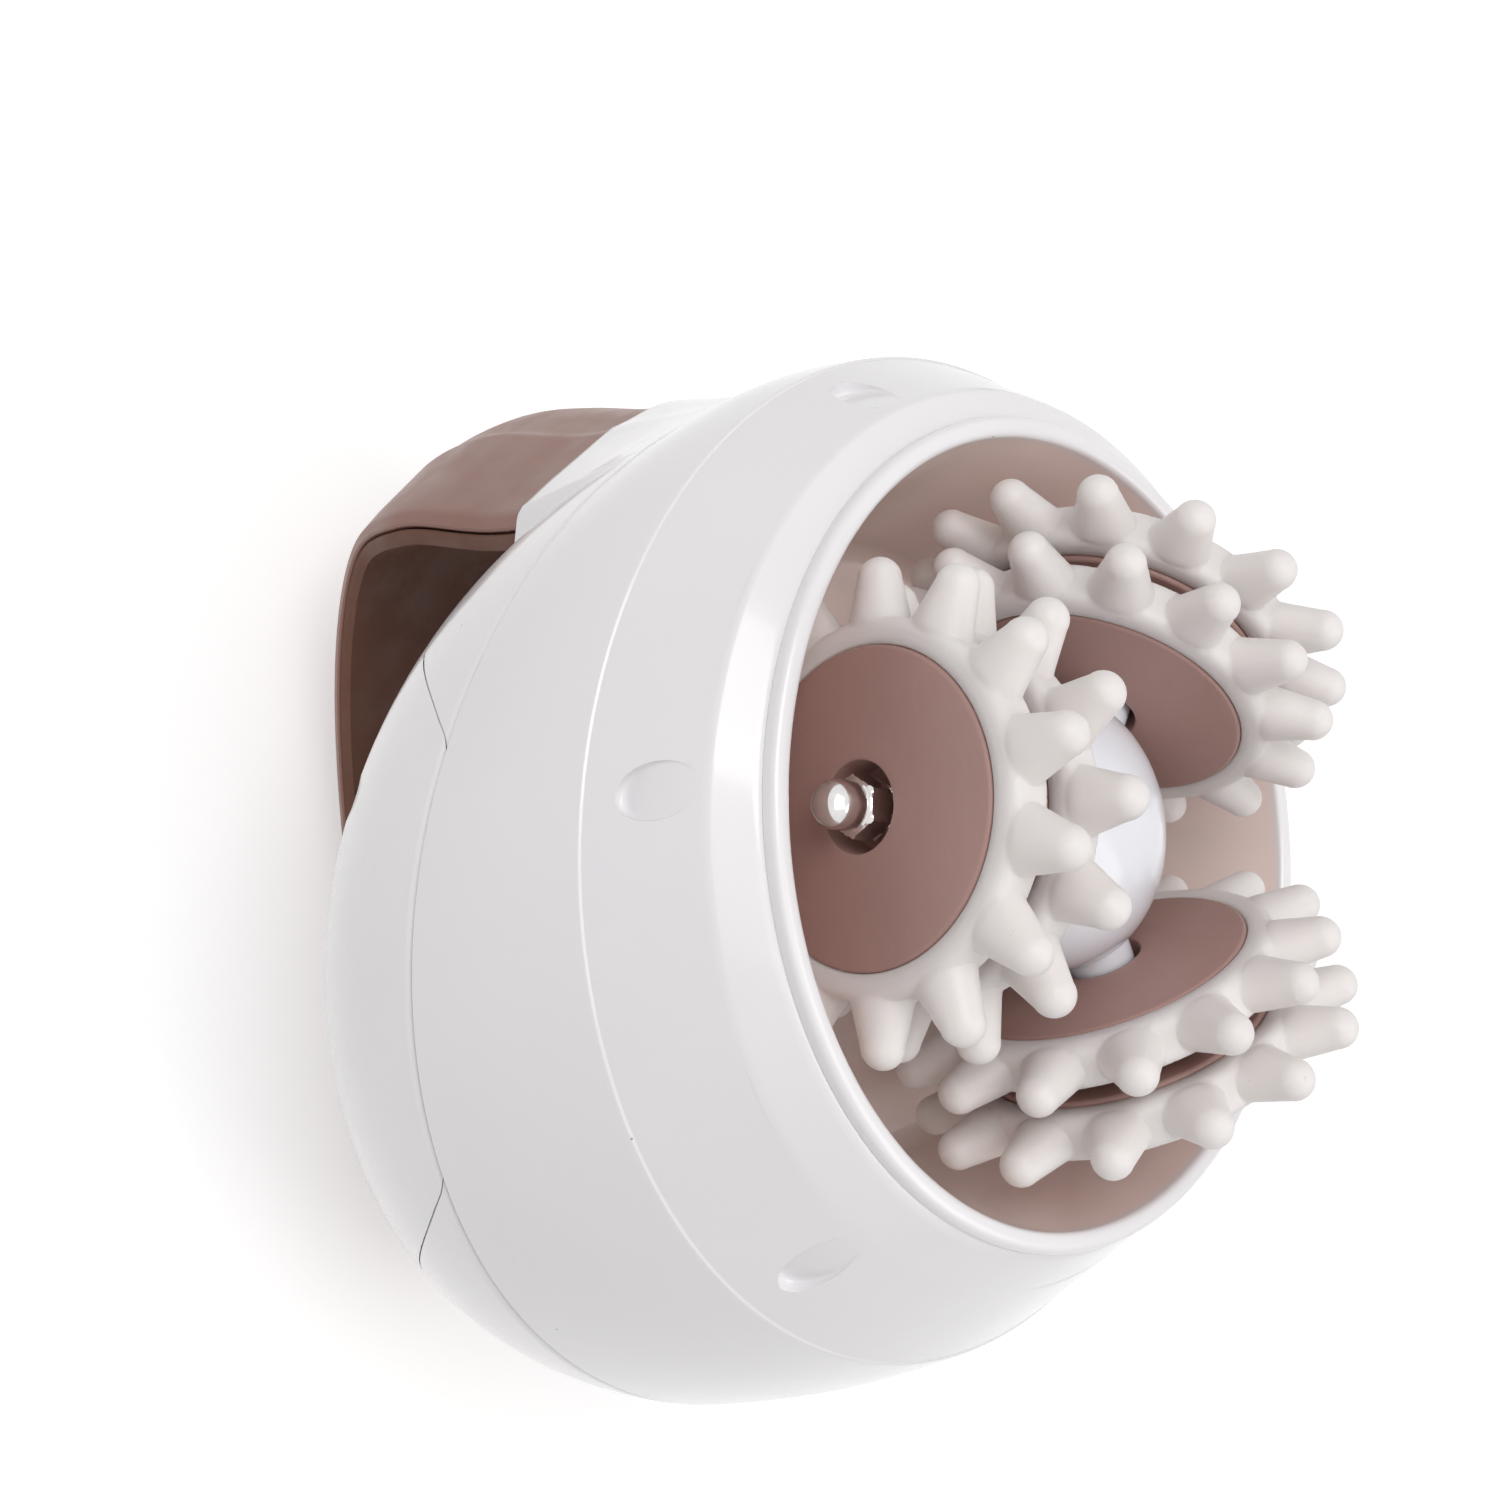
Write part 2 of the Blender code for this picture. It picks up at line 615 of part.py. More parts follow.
def make_lug(name, side):
    """Block that rises from the seam line to the strap's section, lofted in planes beside the seam."""
    spread = np.linspace(-1, 1, ROUND_SIDES // 2 + 1)
    seam_line = SEAM_HALF_Y * np.sqrt(1 - (LUG_HALF_WIDTH * spread / SEAM_HALF_X) ** 2)
    crown_line = lug_crown(side) - STRAP_EDGE_DROP * strap_drop_shares(np.abs(spread))
    rings = []
    steps = (GAP / 2, SEAM_BEVEL_DEPTH, LUG_DEPTH / 3, LUG_DEPTH * 2 / 3, LUG_DEPTH - LUG_ROUND,
             LUG_DEPTH)
    for depth in steps:
        share = depth / LUG_DEPTH
        inset = LUG_ROUND * (depth == LUG_DEPTH) + SEAM_BEVEL * (depth < SEAM_BEVEL_DEPTH)
        narrow = (LUG_HALF_WIDTH - 2 * inset) * spread
        height = between(seam_line, crown_line, share) - inset / 2
        top = [(x, side * y, -depth) for x, y in zip(narrow, height)]
        foot = [(x, side * LUG_FOOT, -depth) for x in (narrow[-1], narrow[0])]
        rings.append(top + foot)
    return skin(name, rings, SEAM_FRAME)


def make_collar(name, side, white):
    """Crescent of the dome's wall with the lug that the strap butts against."""
    collar = dome_solid(name, bevel=SEAM_BEVEL)
    boolean(collar, collar_prism("crescent", side, -GAP / 2), "INTERSECT")
    boolean(collar, make_lug("lug", side), "UNION")
    hollow = dome_rings(HOUSING_WALL, GAP / 2, 0.0)
    boolean(collar, skin("hollow", [hollow[0] + (0, 0, OVERRUN)] + hollow, SEAM_FRAME))
    return dress(collar, white)


def side_point(turn, depth):
    """Point and outward normal of the dome at a turn and depth, in the seam frame."""
    share = dome_share(depth)
    point = np.array([SEAM_HALF_X * share * math.cos(turn),
                      dome_lean(depth) + SEAM_HALF_Y * share * math.sin(turn), -depth])
    normal = np.array([math.cos(turn), math.sin(turn), -dome_fall(depth, SEAM_HALF_X)])
    return point, normal / np.linalg.norm(normal)


def side_frame(depth):
    """Frame on the dome's -X side, level with the seam's middle: Z outwards, Y along the seam."""
    turn = math.pi + math.asin(dome_lean(depth) / (SEAM_HALF_Y * dome_share(depth)))
    point, normal = side_point(turn, depth)
    along = np.array([0.0, 1.0, 0.0])
    across = np.cross(along, normal)
    across /= np.linalg.norm(across)
    axes = np.column_stack([across, np.cross(normal, across), normal])
    matrix = Matrix.Identity(4)
    for i in range(3):
        for j in range(3):
            matrix[i][j] = axes[i][j]
        matrix[i][3] = point[i]
    return SEAM_FRAME @ matrix


def handle_screw_seat():
    """How far inside the dome's surface the handle screws' heads sit, clear of its sloping wall."""
    slope = dome_fall(HANDLE_SCREW_DEPTH, SEAM_HALF_Y) + DOME_LEAN / DOME_DEPTH
    return (HOUSING_WALL * math.hypot(1, slope) + (SCREW_HEAD_RADIUS + GAP) * slope
            + HANDLE_SCREW_CLEARANCE)


def handle_screw_places():
    """Frames of the handle screws: Z runs outwards through the dome into the strap."""
    places = []
    for side in (-1, 1):
        for x in (-HANDLE_SCREW_X, HANDLE_SCREW_X):
            share = dome_share(HANDLE_SCREW_DEPTH)
            reach = (SEAM_HALF_Y * share * math.sqrt(1 - (x / (SEAM_HALF_X * share)) ** 2)
                     + side * dome_lean(HANDLE_SCREW_DEPTH))
            place = (SEAM_FRAME @ Matrix.Translation((x, side * reach, -HANDLE_SCREW_DEPTH))
                     @ Matrix.Rotation(-side * math.pi / 2, 4, "X"))
            places.append((side, place))
    return places


def make_rear_housing(white):
    """Palm-side dome, open where the collars sit, with screw wells, strap bosses and side openings."""
    shell = dome_shell("rear_housing")
    for x, y in housing_screw_places():
        place = SEAM_FRAME @ Matrix.Translation((x, y, 0))
        well = rod("well", SCREW_BOSS_RADIUS, -DOME_DEPTH, -GAP / 2, place)
        boolean(well, dome_solid("outside", inset=GAP), "INTERSECT")
        boolean(shell, well, "UNION")
        boolean(shell, rod("counterbore", SCREW_HEAD_RADIUS + GAP, -DOME_DEPTH, -HOUSING_SCREW_SEAT, place))
        boolean(shell, rod("screw_hole", SCREW_RADIUS + GAP, -DOME_DEPTH, OVERRUN, place))
    for _, place in handle_screw_places():
        boss = rod("boss", SCREW_BOSS_RADIUS, -handle_screw_seat(), 0, place)
        boolean(boss, dome_solid("outside", inset=GAP), "INTERSECT")
        boolean(shell, boss, "UNION")
        low = -handle_screw_seat() - OVERRUN
        boolean(shell, rod("screw_hole", SCREW_RADIUS + GAP, low, OVERRUN, place))
    for side in (-1, 1):
        boolean(shell, collar_prism("crescent", side, GAP / 2))
    inlet = rod("inlet_hole", INLET_RADIUS + GAP, -INLET_LENGTH, OVERRUN, side_frame(INLET_DEPTH))
    boolean(shell, inlet)
    window = (SWITCH_WIDTH + 2 * GAP, SWITCH_LENGTH + 2 * GAP, 2 * SWITCH_HEIGHT)
    boolean(shell, block("switch_hole", window, (0, 0, 0), side_frame(SWITCH_DEPTH)))
    return dress(shell, white)


# Strap handle

def strap_path():
    """Crown points and outward normals of the strap in the YZ plane, upper root to lower root."""
    back = np.linspace(0, math.pi, STRAP_STATIONS)
    ends, ends_lower = np.array(STRAP_ROOT_SHARES), np.array(STRAP_ROOT_LOWER_SHARES)
    y_upper = -STRAP_HALF_SPAN + STRAP_LEAN * ends ** 2
    y_lower = STRAP_HALF_SPAN - STRAP_LEAN * ends_lower ** 2
    y_arch = -STRAP_HALF_SPAN * np.sign(np.cos(back)) * np.abs(np.cos(back)) ** (2 / STRAP_POWER)
    z_arch = STRAP_MIDDLE_Z - STRAP_RISE * np.sin(back) ** (2 / STRAP_POWER)
    y = np.concatenate([y_upper, y_arch, y_lower[::-1]])
    z = np.concatenate([STRAP_MIDDLE_Z + ends * STRAP_ROOT_LENGTH, z_arch,
                        STRAP_MIDDLE_Z + ends_lower[::-1] * STRAP_ROOT_LENGTH])
    line = np.stack([y, z], 1)
    run = np.gradient(line, axis=0)
    run /= np.linalg.norm(run, axis=1)[:, None]
    outward = np.stack([run[:, 1], -run[:, 0]], 1)
    return line, outward


def strap_drop_shares(across):
    """Fall of the strap's outer line below its crown at a share of the half width."""
    wide, fall = np.array(STRAP_LINE_SHARES).T
    return np.interp(across, wide, fall)


def strap_sections(outline, name, lowest_flat):
    """Loft of a section along the strap. An outline point is (x, depth below the crown)."""
    line, outward = strap_path()
    outline = np.asarray(outline, float)
    rings = []
    for (y, z), (out_y, out_z) in zip(line, outward):
        bend = min(1.0, max(0.0, (STRAP_MIDDLE_Z - z) / STRAP_RISE))
        x = outline[:, 0] * between(1.0, STRAP_CROWN_WIDTH_SHARE, bend)
        deep = outline[:, 1] * between(1.0, STRAP_CROWN_DEPTH_SHARE, bend)
        rings.append(np.stack([x, y - out_y * deep, z - out_z * deep], 1))
    strap = skin(name, rings)
    if lowest_flat:
        reach = 2 * STRAP_HALF_SPAN
        boolean(strap, block("floor", (reach, reach, OVERRUN), (0, 0, -OVERRUN / 2)))
    return strap


def trim_strap_to_body(strap):
    """Cut the strap's roots back to the lugs and the dome, with the running gap."""
    boolean(strap, dome_solid("dome", start=-OVERRUN, grow=GAP))
    reach = 2 * (SEAM_HALF_Y + DOME_LEAN)
    high = 2 * SEAM_DROP
    centre = (0, 0, high / 2 - LUG_DEPTH - GAP)
    boolean(strap, block("front", (reach, reach, high), centre, SEAM_FRAME))
    return strap


def make_handle(taupe, brown):
    """Outer strap shell, a channel open to the palm, and the grip that closes it."""
    outer = [(STRAP_HALF_WIDTH * x, STRAP_EDGE_DROP * d) for x, d in STRAP_LINE_SHARES]
    inner = [(max(0.0, (STRAP_HALF_WIDTH - STRAP_SKIN) * x), STRAP_SKIN + (STRAP_EDGE_DROP - STRAP_SKIN) * d)
             for x, d in STRAP_LINE_SHARES]
    half_channel = outer + [(inner[-1][0], STRAP_EDGE_DROP)] + inner[-2::-1]
    left = [(-x, d) for x, d in half_channel[-2:0:-1]]
    shell = strap_sections(half_channel + left, "handle_shell", True)
    trim_strap_to_body(shell)

    edge = STRAP_HALF_WIDTH - STRAP_SKIN - GAP
    crease = STRAP_EDGE_DROP - STRAP_MIDDLE_DEPTH
    top = [(edge * s, STRAP_MIDDLE_DEPTH + crease * s * s) for s in GRIP_LINE_SHARES]
    top += [(edge, STRAP_EDGE_DROP), (edge, STRAP_EDGE_DROP + GAP),
            (STRAP_HALF_WIDTH, STRAP_EDGE_DROP + GAP)]
    low = [(STRAP_HALF_WIDTH - GRIP_THICKNESS / 3, STRAP_EDGE_DROP + GRIP_THICKNESS - GAP)]
    low += [(edge * s, STRAP_MIDDLE_DEPTH + GRIP_THICKNESS + crease * s * s) for s in GRIP_LINE_SHARES[::-1]]
    loop = top + low
    left = [(-x, d) for x, d in loop[-2:0:-1]]
    grip = strap_sections(loop + left, "handle_grip", False)
    trim_strap_to_body(grip)

    under = [((STRAP_HALF_WIDTH - GAP) * x, between(STRAP_SKIN / 2, STRAP_EDGE_DROP, d))
             for x, d in STRAP_LINE_SHARES]
    for _, place in handle_screw_places():
        boolean(grip, rod("boss_hole", STRAP_BOSS_RADIUS + GAP, -2 * OVERRUN, STRAP_HALF_SPAN, place))
    for _, place in handle_screw_places():
        boss = rod("boss", STRAP_BOSS_RADIUS, GAP, STRAP_HALF_SPAN, place)
        inside = strap_sections(under + [(-x, d) for x, d in under[:0:-1]], "inside", True)
        boolean(boss, inside, "INTERSECT")
        boolean(boss, dome_solid("dome", start=-OVERRUN, grow=GAP))
        boolean(shell, boss, "UNION")
        boolean(shell, rod("bore", SCREW_RADIUS + GAP, -OVERRUN, HANDLE_SCREW_BITE + GAP, place))
    return dress(shell, taupe), dress(grip, brown)


# Screws

def make_screw(name, place, grip_length, steel):
    """Pan-head screw: its head lies under z = 0 and its shank runs up to grip_length."""
    profile = ((SCREW_HEAD_RADIUS, -SCREW_HEAD_HEIGHT), (SCREW_HEAD_RADIUS, 0), (SCREW_RADIUS, 0),
               (SCREW_RADIUS, grip_length))
    return dress(turned(name, profile, place, SMALL_SIDES), steel)


def make_screws(steel):
    """Housing screws in their wells, handle screws inside the dome, plate screws under the gear plate."""
    for number, (x, y) in enumerate(housing_screw_places(), 1):
        seat = -HOUSING_SCREW_SEAT - GAP
        place = SEAM_FRAME @ Matrix.Translation((x, y, seat))
        make_screw(f"housing_screw_{number}", place, HOUSING_SCREW_BITE - seat, steel)
    for number, (_, place) in enumerate(handle_screw_places(), 1):
        seat = -handle_screw_seat() - GAP
        place = place @ Matrix.Translation((0, 0, seat))
        make_screw(f"handle_screw_{number}", place, HANDLE_SCREW_BITE - seat, steel)
    for number, (x, y) in enumerate(plate_screw_places(), 1):
        seat = -PLATE_DROP - PLATE_THICKNESS - GAP
        place = ROTOR_FRAME @ Matrix.Translation((x, y, seat))
        make_screw(f"plate_screw_{number}", place, PLATE_THICKNESS + PLATE_SCREW_BITE, steel)


# Gear case

def gear_outline(teeth, pitch_radius, turn):
    """Outline of a gear with a tooth centred on a turn."""
    step = 2 * math.pi / teeth
    root, tip = pitch_radius - TOOTH_ROOT, pitch_radius + TOOTH_RISE
    corners = ((-TOOTH_ROOT_SHARE, root), (-TOOTH_TIP_SHARE, tip),
               (TOOTH_TIP_SHARE, tip), (TOOTH_ROOT_SHARE, root))
    places = [(radius, turn + (k + share) * step) for k in range(teeth) for share, radius in corners]
    return [(radius * math.cos(at), radius * math.sin(at)) for radius, at in places]


def make_gear_plate(metal):
    """Plate screwed to the bowl's posts: it carries the lower bearing, gear pin, motor and board."""
    top, low = -PLATE_DROP, -PLATE_DROP - PLATE_THICKNESS
    plate = rod("gear_plate", PLATE_RADIUS, low, top, ROTOR_FRAME, ROUND_SIDES)
    seat = LOWER_BEARING_RADIUS + GAP
    seat_low = low + BEARING_SHOULDER
    boss = rod("boss", seat + BEARING_BOSS_WALL, low, top + LOWER_BEARING_RISE, ROTOR_FRAME, ROUND_SIDES)
    boolean(plate, boss, "UNION")
    boolean(plate, rod("seat", seat, seat_low, 0, ROTOR_FRAME, ROUND_SIDES))
    boolean(plate, rod("bore", SHAFT_END_RADIUS + 2 * GAP, low - OVERRUN, 0, ROTOR_FRAME))
    for x, y in standoff_places():
        place = ROTOR_FRAME @ Matrix.Translation((x, y, 0))
        boolean(plate, rod("standoff", STANDOFF_RADIUS, low - STANDOFF_LENGTH, top - GAP, place), "UNION")
    holes = [(x, y, SCREW_RADIUS) for x, y in plate_screw_places()]
    holes += [(*compound_place(), GEAR_PIN_RADIUS), (*motor_place(), MOTOR_BOSS_RADIUS)]
    for x, y, radius in holes:
        place = ROTOR_FRAME @ Matrix.Translation((x, y, 0))
        boolean(plate, rod("hole", radius + GAP, low - OVERRUN, top + OVERRUN, place))
    return dress(plate, metal)


def standoff_places():
    """Places of the two standoffs that hold the circuit board."""
    return [(BOARD_X + side * STANDOFF_SPREAD, BOARD_Y) for side in (-1, 1)]


def make_bearings(steel):
    """Upper bearing in the bowl's boss, lower bearing in the plate's boss."""
    high = -BOWL_DEPTH - BOWL_WALL / 2 - GAP
    upper = tube("upper_bearing", SHAFT_RADIUS + GAP, BEARING_RADIUS, high - BEARING_HEIGHT, high,
                 ROTOR_FRAME, ROUND_SIDES)
    low = -PLATE_DROP - PLATE_THICKNESS + BEARING_SHOULDER + GAP
    lower = tube("lower_bearing", SHAFT_END_RADIUS + GAP, LOWER_BEARING_RADIUS, low,
                 -PLATE_DROP + LOWER_BEARING_RISE - GAP, ROTOR_FRAME, ROUND_SIDES)
    return dress(upper, steel), dress(lower, steel)


def make_compound_gear(nylon):
    """Small gear that meets the drive gear, over a wide one that meets the motor pinion."""
    place = ROTOR_FRAME @ Matrix.Translation((*compound_place(), 0))
    wheel_low = -PLATE_DROP + GAP + GEAR_HUB_RISE
    wheel_high = wheel_low + WHEEL_GEAR_WIDTH
    pinion_high = -DRIVE_GEAR_DROP + GAP
    pinion_turn = COMPOUND_TURN + math.pi + math.pi / PINION_TEETH
    gear = prism("compound_gear", gear_outline(WHEEL_TEETH, WHEEL_PITCH_RADIUS, MOTOR_TURN),
                 wheel_low, wheel_high, place)
    pinion = prism("pinion", gear_outline(PINION_TEETH, PINION_PITCH_RADIUS, pinion_turn),
                   wheel_high - GEAR_HUB_RISE, pinion_high, place)
    boolean(gear, pinion, "UNION")
    foot = rod("foot", 2 * GEAR_PIN_RADIUS, -PLATE_DROP + GAP, wheel_low + GEAR_HUB_RISE, place)
    boolean(gear, foot, "UNION")
    boolean(gear, rod("bore", GEAR_PIN_RADIUS + GAP, -PLATE_DROP - OVERRUN, 0, place))
    pin_low = -PLATE_DROP - PLATE_THICKNESS + GAP
    pin = rod("gear_pin", GEAR_PIN_RADIUS, pin_low, -BOWL_DEPTH - BOWL_WALL - GAP, place)
    return dress(gear, nylon), pin


def make_drive(nylon, steel):
    """Drive gear and its shaft, which carries the hub through the bowl's floor."""
    high, low = -DRIVE_GEAR_DROP, -DRIVE_GEAR_DROP - DRIVE_GEAR_WIDTH
    outline = gear_outline(DRIVE_TEETH, DRIVE_PITCH_RADIUS, COMPOUND_TURN)
    gear = prism("drive_gear", outline, low, high, ROTOR_FRAME)
    hub = rod("hub", GEAR_HUB_RADIUS, low - GEAR_HUB_RISE, high + GEAR_HUB_RISE, ROTOR_FRAME)
    boolean(gear, hub, "UNION")
    boolean(gear, rod("bore", SHAFT_RADIUS + GAP, low - OVERRUN, high + OVERRUN, ROTOR_FRAME, ROUND_SIDES))
    step = low - GEAR_HUB_RISE
    shaft_low = -PLATE_DROP - PLATE_THICKNESS
    profile = ((SHAFT_END_RADIUS, shaft_low), (SHAFT_END_RADIUS, step), (SHAFT_RADIUS, step),
               (SHAFT_RADIUS, -SHAFT_TOP_DROP))
    shaft = turned("rotor_shaft", profile, ROTOR_FRAME, ROUND_SIDES)
    return dress(gear, nylon), dress(shaft, steel)


def make_motor(steel, nylon):
    """Motor can under the plate, and the pinion with the shaft that turns in it."""
    place = ROTOR_FRAME @ Matrix.Translation((*motor_place(), 0))
    top = -PLATE_DROP - PLATE_THICKNESS - GAP
    low = top - MOTOR_LENGTH
    boss_top = top + MOTOR_BOSS_LENGTH
    profile = ((MOTOR_RADIUS - MOTOR_CHAMFER, low), (MOTOR_RADIUS, low + MOTOR_CHAMFER),
               (MOTOR_RADIUS, top - MOTOR_CHAMFER), (MOTOR_RADIUS - MOTOR_CHAMFER, top),
               (MOTOR_BOSS_RADIUS, top), (MOTOR_BOSS_RADIUS, boss_top))
    motor = turned("motor", profile, place)
    bore_low = boss_top - MOTOR_BORE_DEPTH
    boolean(motor, rod("bore", MOTOR_SHAFT_RADIUS + GAP, bore_low, boss_top + OVERRUN, place))
    gear_low = -PLATE_DROP + GAP + GEAR_HUB_RISE
    turn = MOTOR_TURN + math.pi + math.pi / PINION_TEETH
    pinion = prism("motor_pinion", gear_outline(PINION_TEETH, PINION_PITCH_RADIUS, turn),
                   gear_low, gear_low + WHEEL_GEAR_WIDTH, place)
    shaft = rod("shaft", MOTOR_SHAFT_RADIUS, bore_low + GAP, gear_low + GEAR_HUB_RISE, place)
    boolean(pinion, shaft, "UNION")
    return dress(motor, steel), dress(pinion, nylon)


def make_board(green):
    """Circuit board with three parts on its free side."""
    high = -PLATE_DROP - PLATE_THICKNESS - STANDOFF_LENGTH - GAP
    middle = high - BOARD_THICKNESS / 2
    board = block("circuit_board", (BOARD_LENGTH, BOARD_WIDTH, BOARD_THICKNESS),
                  (BOARD_X, BOARD_Y, middle), ROTOR_FRAME)
    for step in (-1, 0, 1):
        centre = (BOARD_X + step * CHIP_SPREAD, BOARD_Y, high - BOARD_THICKNESS - CHIP_HEIGHT / 2)
        size = (CHIP_LENGTH / (1 + abs(step)), CHIP_WIDTH, CHIP_HEIGHT + BOARD_THICKNESS)
        boolean(board, block("chip", size, centre, ROTOR_FRAME), "UNION")
    return dress(board, green)


# Power inlet and switch

def make_inlet(black):
    """Round low-voltage inlet with its centre pin."""
    low = INLET_PROUD - INLET_LENGTH
    place = side_frame(INLET_DEPTH)
    inlet = rod("power_inlet", INLET_RADIUS, low, INLET_PROUD, place, ROUND_SIDES)
    floor = INLET_PROUD - INLET_BORE_DEPTH
    ring = tube("bore", INLET_PIN_RADIUS, INLET_BORE_RADIUS, floor, INLET_PROUD + OVERRUN, place)
    boolean(inlet, ring)
    tip_low = INLET_PROUD - INLET_PIN_SHORT
    boolean(inlet, rod("tip", INLET_BORE_RADIUS, tip_low, INLET_PROUD + OVERRUN, place))
    return dress(inlet, black)


def make_switch(white, taupe):
    """Switch case with a window, and the rocker in it, tilted to its off side."""
    place = side_frame(SWITCH_DEPTH)
    centre = (0, 0, SWITCH_PROUD - SWITCH_HEIGHT / 2)
    case = block("switch_case", (SWITCH_WIDTH, SWITCH_LENGTH, SWITCH_HEIGHT), centre, place)
    window = (SWITCH_WINDOW_WIDTH, SWITCH_WINDOW_LENGTH, 2 * SWITCH_WINDOW_DEPTH)
    boolean(case, block("window", window, (0, 0, SWITCH_PROUD), place))
    half = ROCKER_LENGTH / 2
    heel = np.linspace(math.pi + ROCKER_HEEL_TURN, 2 * math.pi - ROCKER_HEEL_TURN, SMALL_SIDES // 2)
    outline = [(half, -ROCKER_HEEL / 3), (half, ROCKER_END_RISE), (0, ROCKER_MIDDLE_RISE),
               (-half, ROCKER_END_RISE), (-half, -ROCKER_HEEL / 3)]
    outline += [(ROCKER_HEEL * math.cos(t), ROCKER_HEEL * math.sin(t)) for t in heel]
    pivot = (place @ Matrix.Translation((0, 0, SWITCH_PROUD - ROCKER_PIVOT_SINK))
             @ Matrix.Rotation(-ROCKER_TILT, 4, "X"))
    rings = [[(side * ROCKER_WIDTH / 2, y, z) for y, z in outline] for side in (-1, 1)]
    rocker = skin("switch_rocker", rings, pivot)
    return dress(case, taupe), dress(rocker, white)


# Rotor

def arm_frame(number):
    """Frame of an arm at the axle's height, with X along the axle outwards."""
    return (ROTOR_FRAME @ Matrix.Translation((0, 0, -AXLE_DROP))
            @ Matrix.Rotation(ROTOR_TURN + number * ARM_STEP, 4, "Z"))


def axle_frame(number, reach=0.0):
    """Frame on an arm's axle with Z outwards."""
    return arm_frame(number) @ Matrix.Translation((reach, 0, 0)) @ Matrix.Rotation(math.pi / 2, 4, "Y")


def make_hub(gloss):
    """Round hub in two halves that clamp the axles, with a stem down to the bowl's floor."""
    place = ROTOR_FRAME @ Matrix.Translation((0, 0, -AXLE_DROP))
    rise = np.linspace(0, HUB_APEX_TURN, HUB_RINGS)
    split = GAP / 2
    cap_profile = [(HUB_RADIUS * math.cos(t), split + (HUB_CAP_RISE - split) * math.sin(t)) for t in rise]
    cap = turned("hub_cap", cap_profile, place)
    stem_low = -(BOWL_DEPTH - AXLE_DROP - HUB_FLOOR_CLEARANCE)
    fall = np.linspace(0, math.acos(HUB_STEM_RADIUS / HUB_RADIUS), HUB_RINGS)
    base_profile = [(HUB_RADIUS * math.cos(t), -split - (HUB_BASE_DEPTH - split) * math.sin(t)) for t in fall]
    base_profile.append((HUB_STEM_RADIUS, stem_low))
    base = turned("hub_base", base_profile, place)
    bore_top = AXLE_DROP - SHAFT_TOP_DROP + GAP
    boolean(base, rod("bore", SHAFT_RADIUS + GAP, stem_low - OVERRUN, bore_top, place, ROUND_SIDES))
    for number in range(ARM_COUNT):
        for half in (cap, base):
            axle = axle_frame(number)
            boolean(half, rod("groove", AXLE_RADIUS + GAP, AXLE_START - GAP, HUB_RADIUS + OVERRUN, axle))
            boolean(half, rod("seat", SLEEVE_RADIUS + GAP, SLEEVE_SEAT, HUB_RADIUS + OVERRUN, axle))
    return dress(cap, gloss), dress(base, gloss)


def core_mesh(taupe):
    """Roller core along Z with a recess at its +Z face."""
    half = ROLLER_WIDTH / 2
    bore = AXLE_RADIUS + GAP
    floor = half - CORE_RECESS_DEPTH
    profile = ((bore, -half), (CORE_RADIUS, -half), (CORE_RADIUS, half), (CORE_RECESS_RADIUS, half),
               (CORE_RECESS_RADIUS, floor), (bore, floor))
    core = dress(turned("core", profile, wrap=True), taupe)
    mesh = core.data
    bpy.data.objects.remove(core)
    return mesh


def tyre_mesh(silicone):
    """Soft tyre along Z: a ring round the core with fourteen tapered nubs outside."""
    half = ROLLER_WIDTH / 2
    tyre = tube("tyre", CORE_RADIUS + GAP, TYRE_RADIUS, -half, half, sides=2 * NUB_COUNT)
    tyre.data.transform(Matrix.Rotation(NUB_STEP / 4, 4, "Z"))
    for number in range(NUB_COUNT):
        place = Matrix.Rotation(number * NUB_STEP, 4, "Z") @ Matrix.Rotation(math.pi / 2, 4, "Y")
        nub = ((NUB_BASE_HALF, TYRE_RADIUS - NUB_SINK), (NUB_TIP_HALF, NUB_TIP_RADIUS))
        boolean(tyre, turned("nub", nub, place, NUB_SIDES), "UNION")
    mesh = dress(tyre, silicone).data
    bpy.data.objects.remove(tyre)
    return mesh


def nut_mesh(chrome):
    """Cap nut along Z: hexagon, dome and a blind bore for the axle's end."""
    corner = NUT_HALF_FLATS / math.cos(math.pi / 6)
    nut = rod("nut", corner, 0, NUT_HEX_HEIGHT, sides=6)
    rise = np.linspace(0, NUT_APEX_TURN, HUB_RINGS // 2)
    collar = NUT_HEX_HEIGHT + NUT_COLLAR_HEIGHT
    dome = [(NUT_DOME_RADIUS, NUT_HEX_HEIGHT / 2)]
    dome += [(NUT_DOME_RADIUS * math.cos(t), collar + NUT_DOME_HEIGHT * math.sin(t)) for t in rise]
    boolean(nut, turned("dome", dome, sides=SMALL_SIDES), "UNION")
    boolean(nut, rod("bore", AXLE_RADIUS + GAP, -OVERRUN, NUT_HEX_HEIGHT + NUT_BORE_RUN))
    mesh = dress(nut, chrome).data
    bpy.data.objects.remove(nut)
    return mesh


